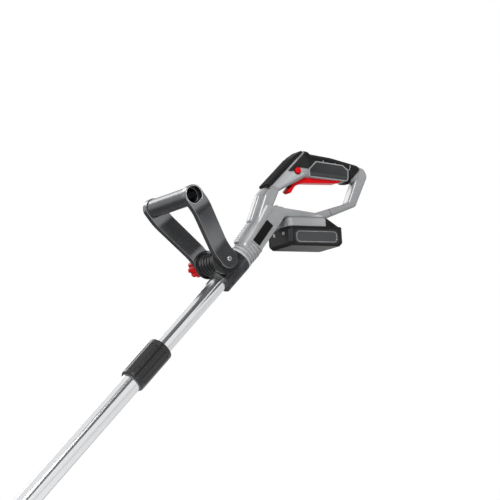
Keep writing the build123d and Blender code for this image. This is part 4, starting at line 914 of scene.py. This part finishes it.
def buildHeadDetails():
    s = headSet
    centre = Vector((headX, 0, tiltZ - s["guardTop"])) * mm
    first = -s["guardSpread"] / 2
    path = [headPoint(r, first, s["guardTop"]) for r in s["guardReach"]]
    ribs = runTree("guard_ribs", hostMesh("guard_path", path), ribRound, {
        "Count": s["guardRibs"], "Angle": math.radians(s["guardSpread"] / (s["guardRibs"] - 1)), "Centre": centre,
        "Axis": Vector((0, 0, 1)), "Thickness": s["guardBead"] * mm, "Finish": finishes["charcoal"]})
    rim = [headPoint(s["lip"], (i / s["lipSteps"] - 0.5) * s["lipSpread"], s["guardTop"] + s["lipSink"])
           for i in range(s["lipSteps"] + 1)]
    lip = beadMesh("guard_lip", rim, s["lipBead"])
    addPiece("guardDetails", joinMeshes("guardDetails", [ribs, lip]), bodyOf["guard"], "charcoal")

    for part, node in (("case", "spool_case"), ("cap", "bump_cap")):
        name = part + "Ribs"
        path = [headPoint(s[part + "Radius"], s[part + "Phase"], drop) for drop in s[part + "Span"]]
        mesh = runTree(name, hostMesh(name + "_path", path), ribRound, {
            "Count": s[name], "Angle": 2 * math.pi / s[name], "Centre": centre, "Axis": Vector((0, 0, 1)),
            "Thickness": s[part + "Bead"] * mm, "Finish": finishes[slotOf[node]]})
        addPiece(name, mesh, bodyOf[node], slotOf[node])


buildHeadDetails()


# Bump spring
springSet = {"share": 0.985}  # of the CAD length, to stay a hair clear of the spool


def buildBumpSpring():
    work = bmesh.new()
    work.from_mesh(nodes["bump_spring"].data)
    bmesh.ops.remove_doubles(work, verts=work.verts, dist=mergeGap)
    low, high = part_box("bump_spring")
    for v in work.verts:
        v.co.z = high[2] - (high[2] - v.co.z) * springSet["share"]
    mesh = bpy.data.meshes.new("bump_spring_coil")
    work.to_mesh(mesh)
    work.free()
    spring = addPiece("bumpSpringCoil", smoothMesh(mesh), bodyOf["bump_spring"], "steel", replaces=("bump_spring",))
    1 - jointReach("bump_feed") / (high[2] - low[2])
    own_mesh(spring)


buildBumpSpring()
print("head details made")


# Camera: the photo's viewing direction, nearly without perspective
cameraSet = {"azimuth": -30.0, "elevation": -10.0, "distance": 4.3, "pixelsPerMm": 0.615, "imageSize": 500,
             "originPixel": (325.0, 171.0), "sensor": 36.0, "clip": (0.05, 50)}


def placeCamera():
    turn = math.radians(cameraSet["azimuth"])
    rise = math.radians(cameraSet["elevation"])
    away = Vector((math.sin(turn) * math.cos(rise), -math.cos(turn) * math.cos(rise), math.sin(rise)))
    right = Vector((math.cos(turn), math.sin(turn), 0))
    up = right.cross(-away).normalized()
    half = cameraSet["imageSize"] / 2
    scale = mm / cameraSet["pixelsPerMm"]
    aim = right * (half - cameraSet["originPixel"][0]) * scale + up * (cameraSet["originPixel"][1] - half) * scale
    camera = bpy.data.cameras.new("camera")
    camera.sensor_width = cameraSet["sensor"]
    camera.lens = cameraSet["sensor"] * cameraSet["distance"] / (cameraSet["imageSize"] * scale)
    camera.clip_start, camera.clip_end = cameraSet["clip"]
    item = bpy.data.objects.new("camera", camera)
    bpy.context.collection.objects.link(item)
    item.location = aim + away * cameraSet["distance"]
    item.rotation_euler = (-away).to_track_quat("-Z", "Y").to_euler()
    bpy.context.scene.camera = item


placeCamera()


# Stage: pale floor under the head, white world, soft lamps and dark cards that only mirrors see
stageSet = {"floorSize": 30.0, "ambient": 0.3, "floorSeen": 0.26, "floorMirrored": 0.42, "cardGlow": 0.1}
lampSet = {
    "key": {"place": (-1.55, -1.5, 1.15), "target": (-0.15, 0, -0.1), "size": (0.7, 0.7), "power": 48.0},
    "fill": {"place": (-0.6, -2.4, -0.3), "target": (-0.1, 0, -0.1), "size": (1.0, 1.0), "power": 8.0},
    "rim": {"place": (-0.62, 1.7, 0.95), "target": (-0.2, 0, -0.1), "size": (0.6, 0.6), "power": 5.0},
}
cardSet = {
    "card_over": {"centre": (-0.455, -0.958, 0.887), "along": (0.676, 0, 0.737), "across": (0.531, -0.695, -0.486),
                  "size": (2.4, 1.15)},
    "card_side": {"centre": (-0.1, -0.212, -0.135), "along": (0.866, 0.5, 0), "across": (0, 0, 1),
                  "size": (0.14, 0.085)},
    "card_back": {"centre": (-0.2, 1.0, -0.55), "along": (1, 0, 0), "across": (0, 0.3, 1), "size": (1.6, 0.6)},
}


def addLamp(name, place, target, size, power):
    lamp = bpy.data.lights.new(name, "AREA")
    lamp.shape = "RECTANGLE"
    lamp.size, lamp.size_y = size
    lamp.energy = power
    item = bpy.data.objects.new(name, lamp)
    bpy.context.collection.objects.link(item)
    item.location = place
    item.rotation_euler = (Vector(target) - Vector(place)).to_track_quat("-Z", "Y").to_euler()


# A flat sheet of the stage from its corners in metres
def stageSheet(name, corners, material):
    mesh = bpy.data.meshes.new(name)
    mesh.from_pydata(corners, [], [tuple(range(len(corners)))])
    sheet = bpy.data.objects.new(name, mesh)
    bpy.context.collection.objects.link(sheet)
    giveFinish(sheet, material)
    return sheet


# A dark card, seen only in reflections, as a photographer shapes a highlight
def addCard(name, centre, along, across, size, material):
    half = [Vector(along).normalized() * size[0] / 2, Vector(across).normalized() * size[1] / 2]
    corners = [Vector(centre) + half[0] * x + half[1] * y for x, y in ((-1, -1), (1, -1), (1, 1), (-1, 1))]
    card = stageSheet(name, corners, material)
    card.visible_camera = False
    card.visible_diffuse = False
    card.visible_shadow = False
    card.visible_transmission = False


def buildStage():
    low = cadBox[0][2]
    half = stageSet["floorSize"] / 2
    floorPaint, tree, shader = newMaterial("pale studio floor", "#f2f2f2", 0.8, Emission_Color=(1, 1, 1, 1))
    floorRays = addNode(tree, "ShaderNodeLightPath")
    seenGlow = addNode(tree, "ShaderNodeMath", {"operation": "MULTIPLY"}, {1: stageSet["floorSeen"]},
                       {0: (floorRays, "Is Camera Ray")})
    glow = addNode(tree, "ShaderNodeMath", {"operation": "MULTIPLY_ADD"}, {1: stageSet["floorMirrored"]},
                   {0: (floorRays, "Is Glossy Ray"), 2: (seenGlow, "Value")})
    tree.links.new(glow.outputs["Value"], shader.inputs["Emission Strength"])
    stageSheet("floor", [(x * half, y * half, low) for x, y in ((-1, -1), (1, -1), (1, 1), (-1, 1))], floorPaint)

    world = bpy.data.worlds.new("studio")
    bpy.context.scene.world = world
    world.use_nodes = True
    tree = world.node_tree
    back = tree.nodes["Background"]
    rays = addNode(tree, "ShaderNodeLightPath")
    seen = addNode(tree, "ShaderNodeMath", {"operation": "MAXIMUM"},
                   links={0: (rays, "Is Camera Ray"), 1: (rays, "Is Glossy Ray")})
    seenThrough = addNode(tree, "ShaderNodeMath", {"operation": "MAXIMUM"},
                          links={0: (seen, "Value"), 1: (rays, "Is Transmission Ray")})
    strength = addNode(tree, "ShaderNodeMapRange", values={"To Min": stageSet["ambient"], "To Max": 1.0},
                       links={"Value": (seenThrough, "Value")})
    back.inputs["Color"].default_value = (1, 1, 1, 1)
    tree.links.new(strength.outputs["Result"], back.inputs["Strength"])

    for name, lamp in lampSet.items():
        addLamp(name, **lamp)
    cardPaint = newMaterial("dark card", "#202020", 0.9, Specular_IOR_Level=0.0, Emission_Color=(1, 1, 1, 1),
                            Emission_Strength=stageSet["cardGlow"])[0]
    for name, card in cardSet.items():
        addCard(name, material=cardPaint, **card)


buildStage()
bpy.context.scene.view_settings.view_transform = "Standard"
print("stage and camera set")
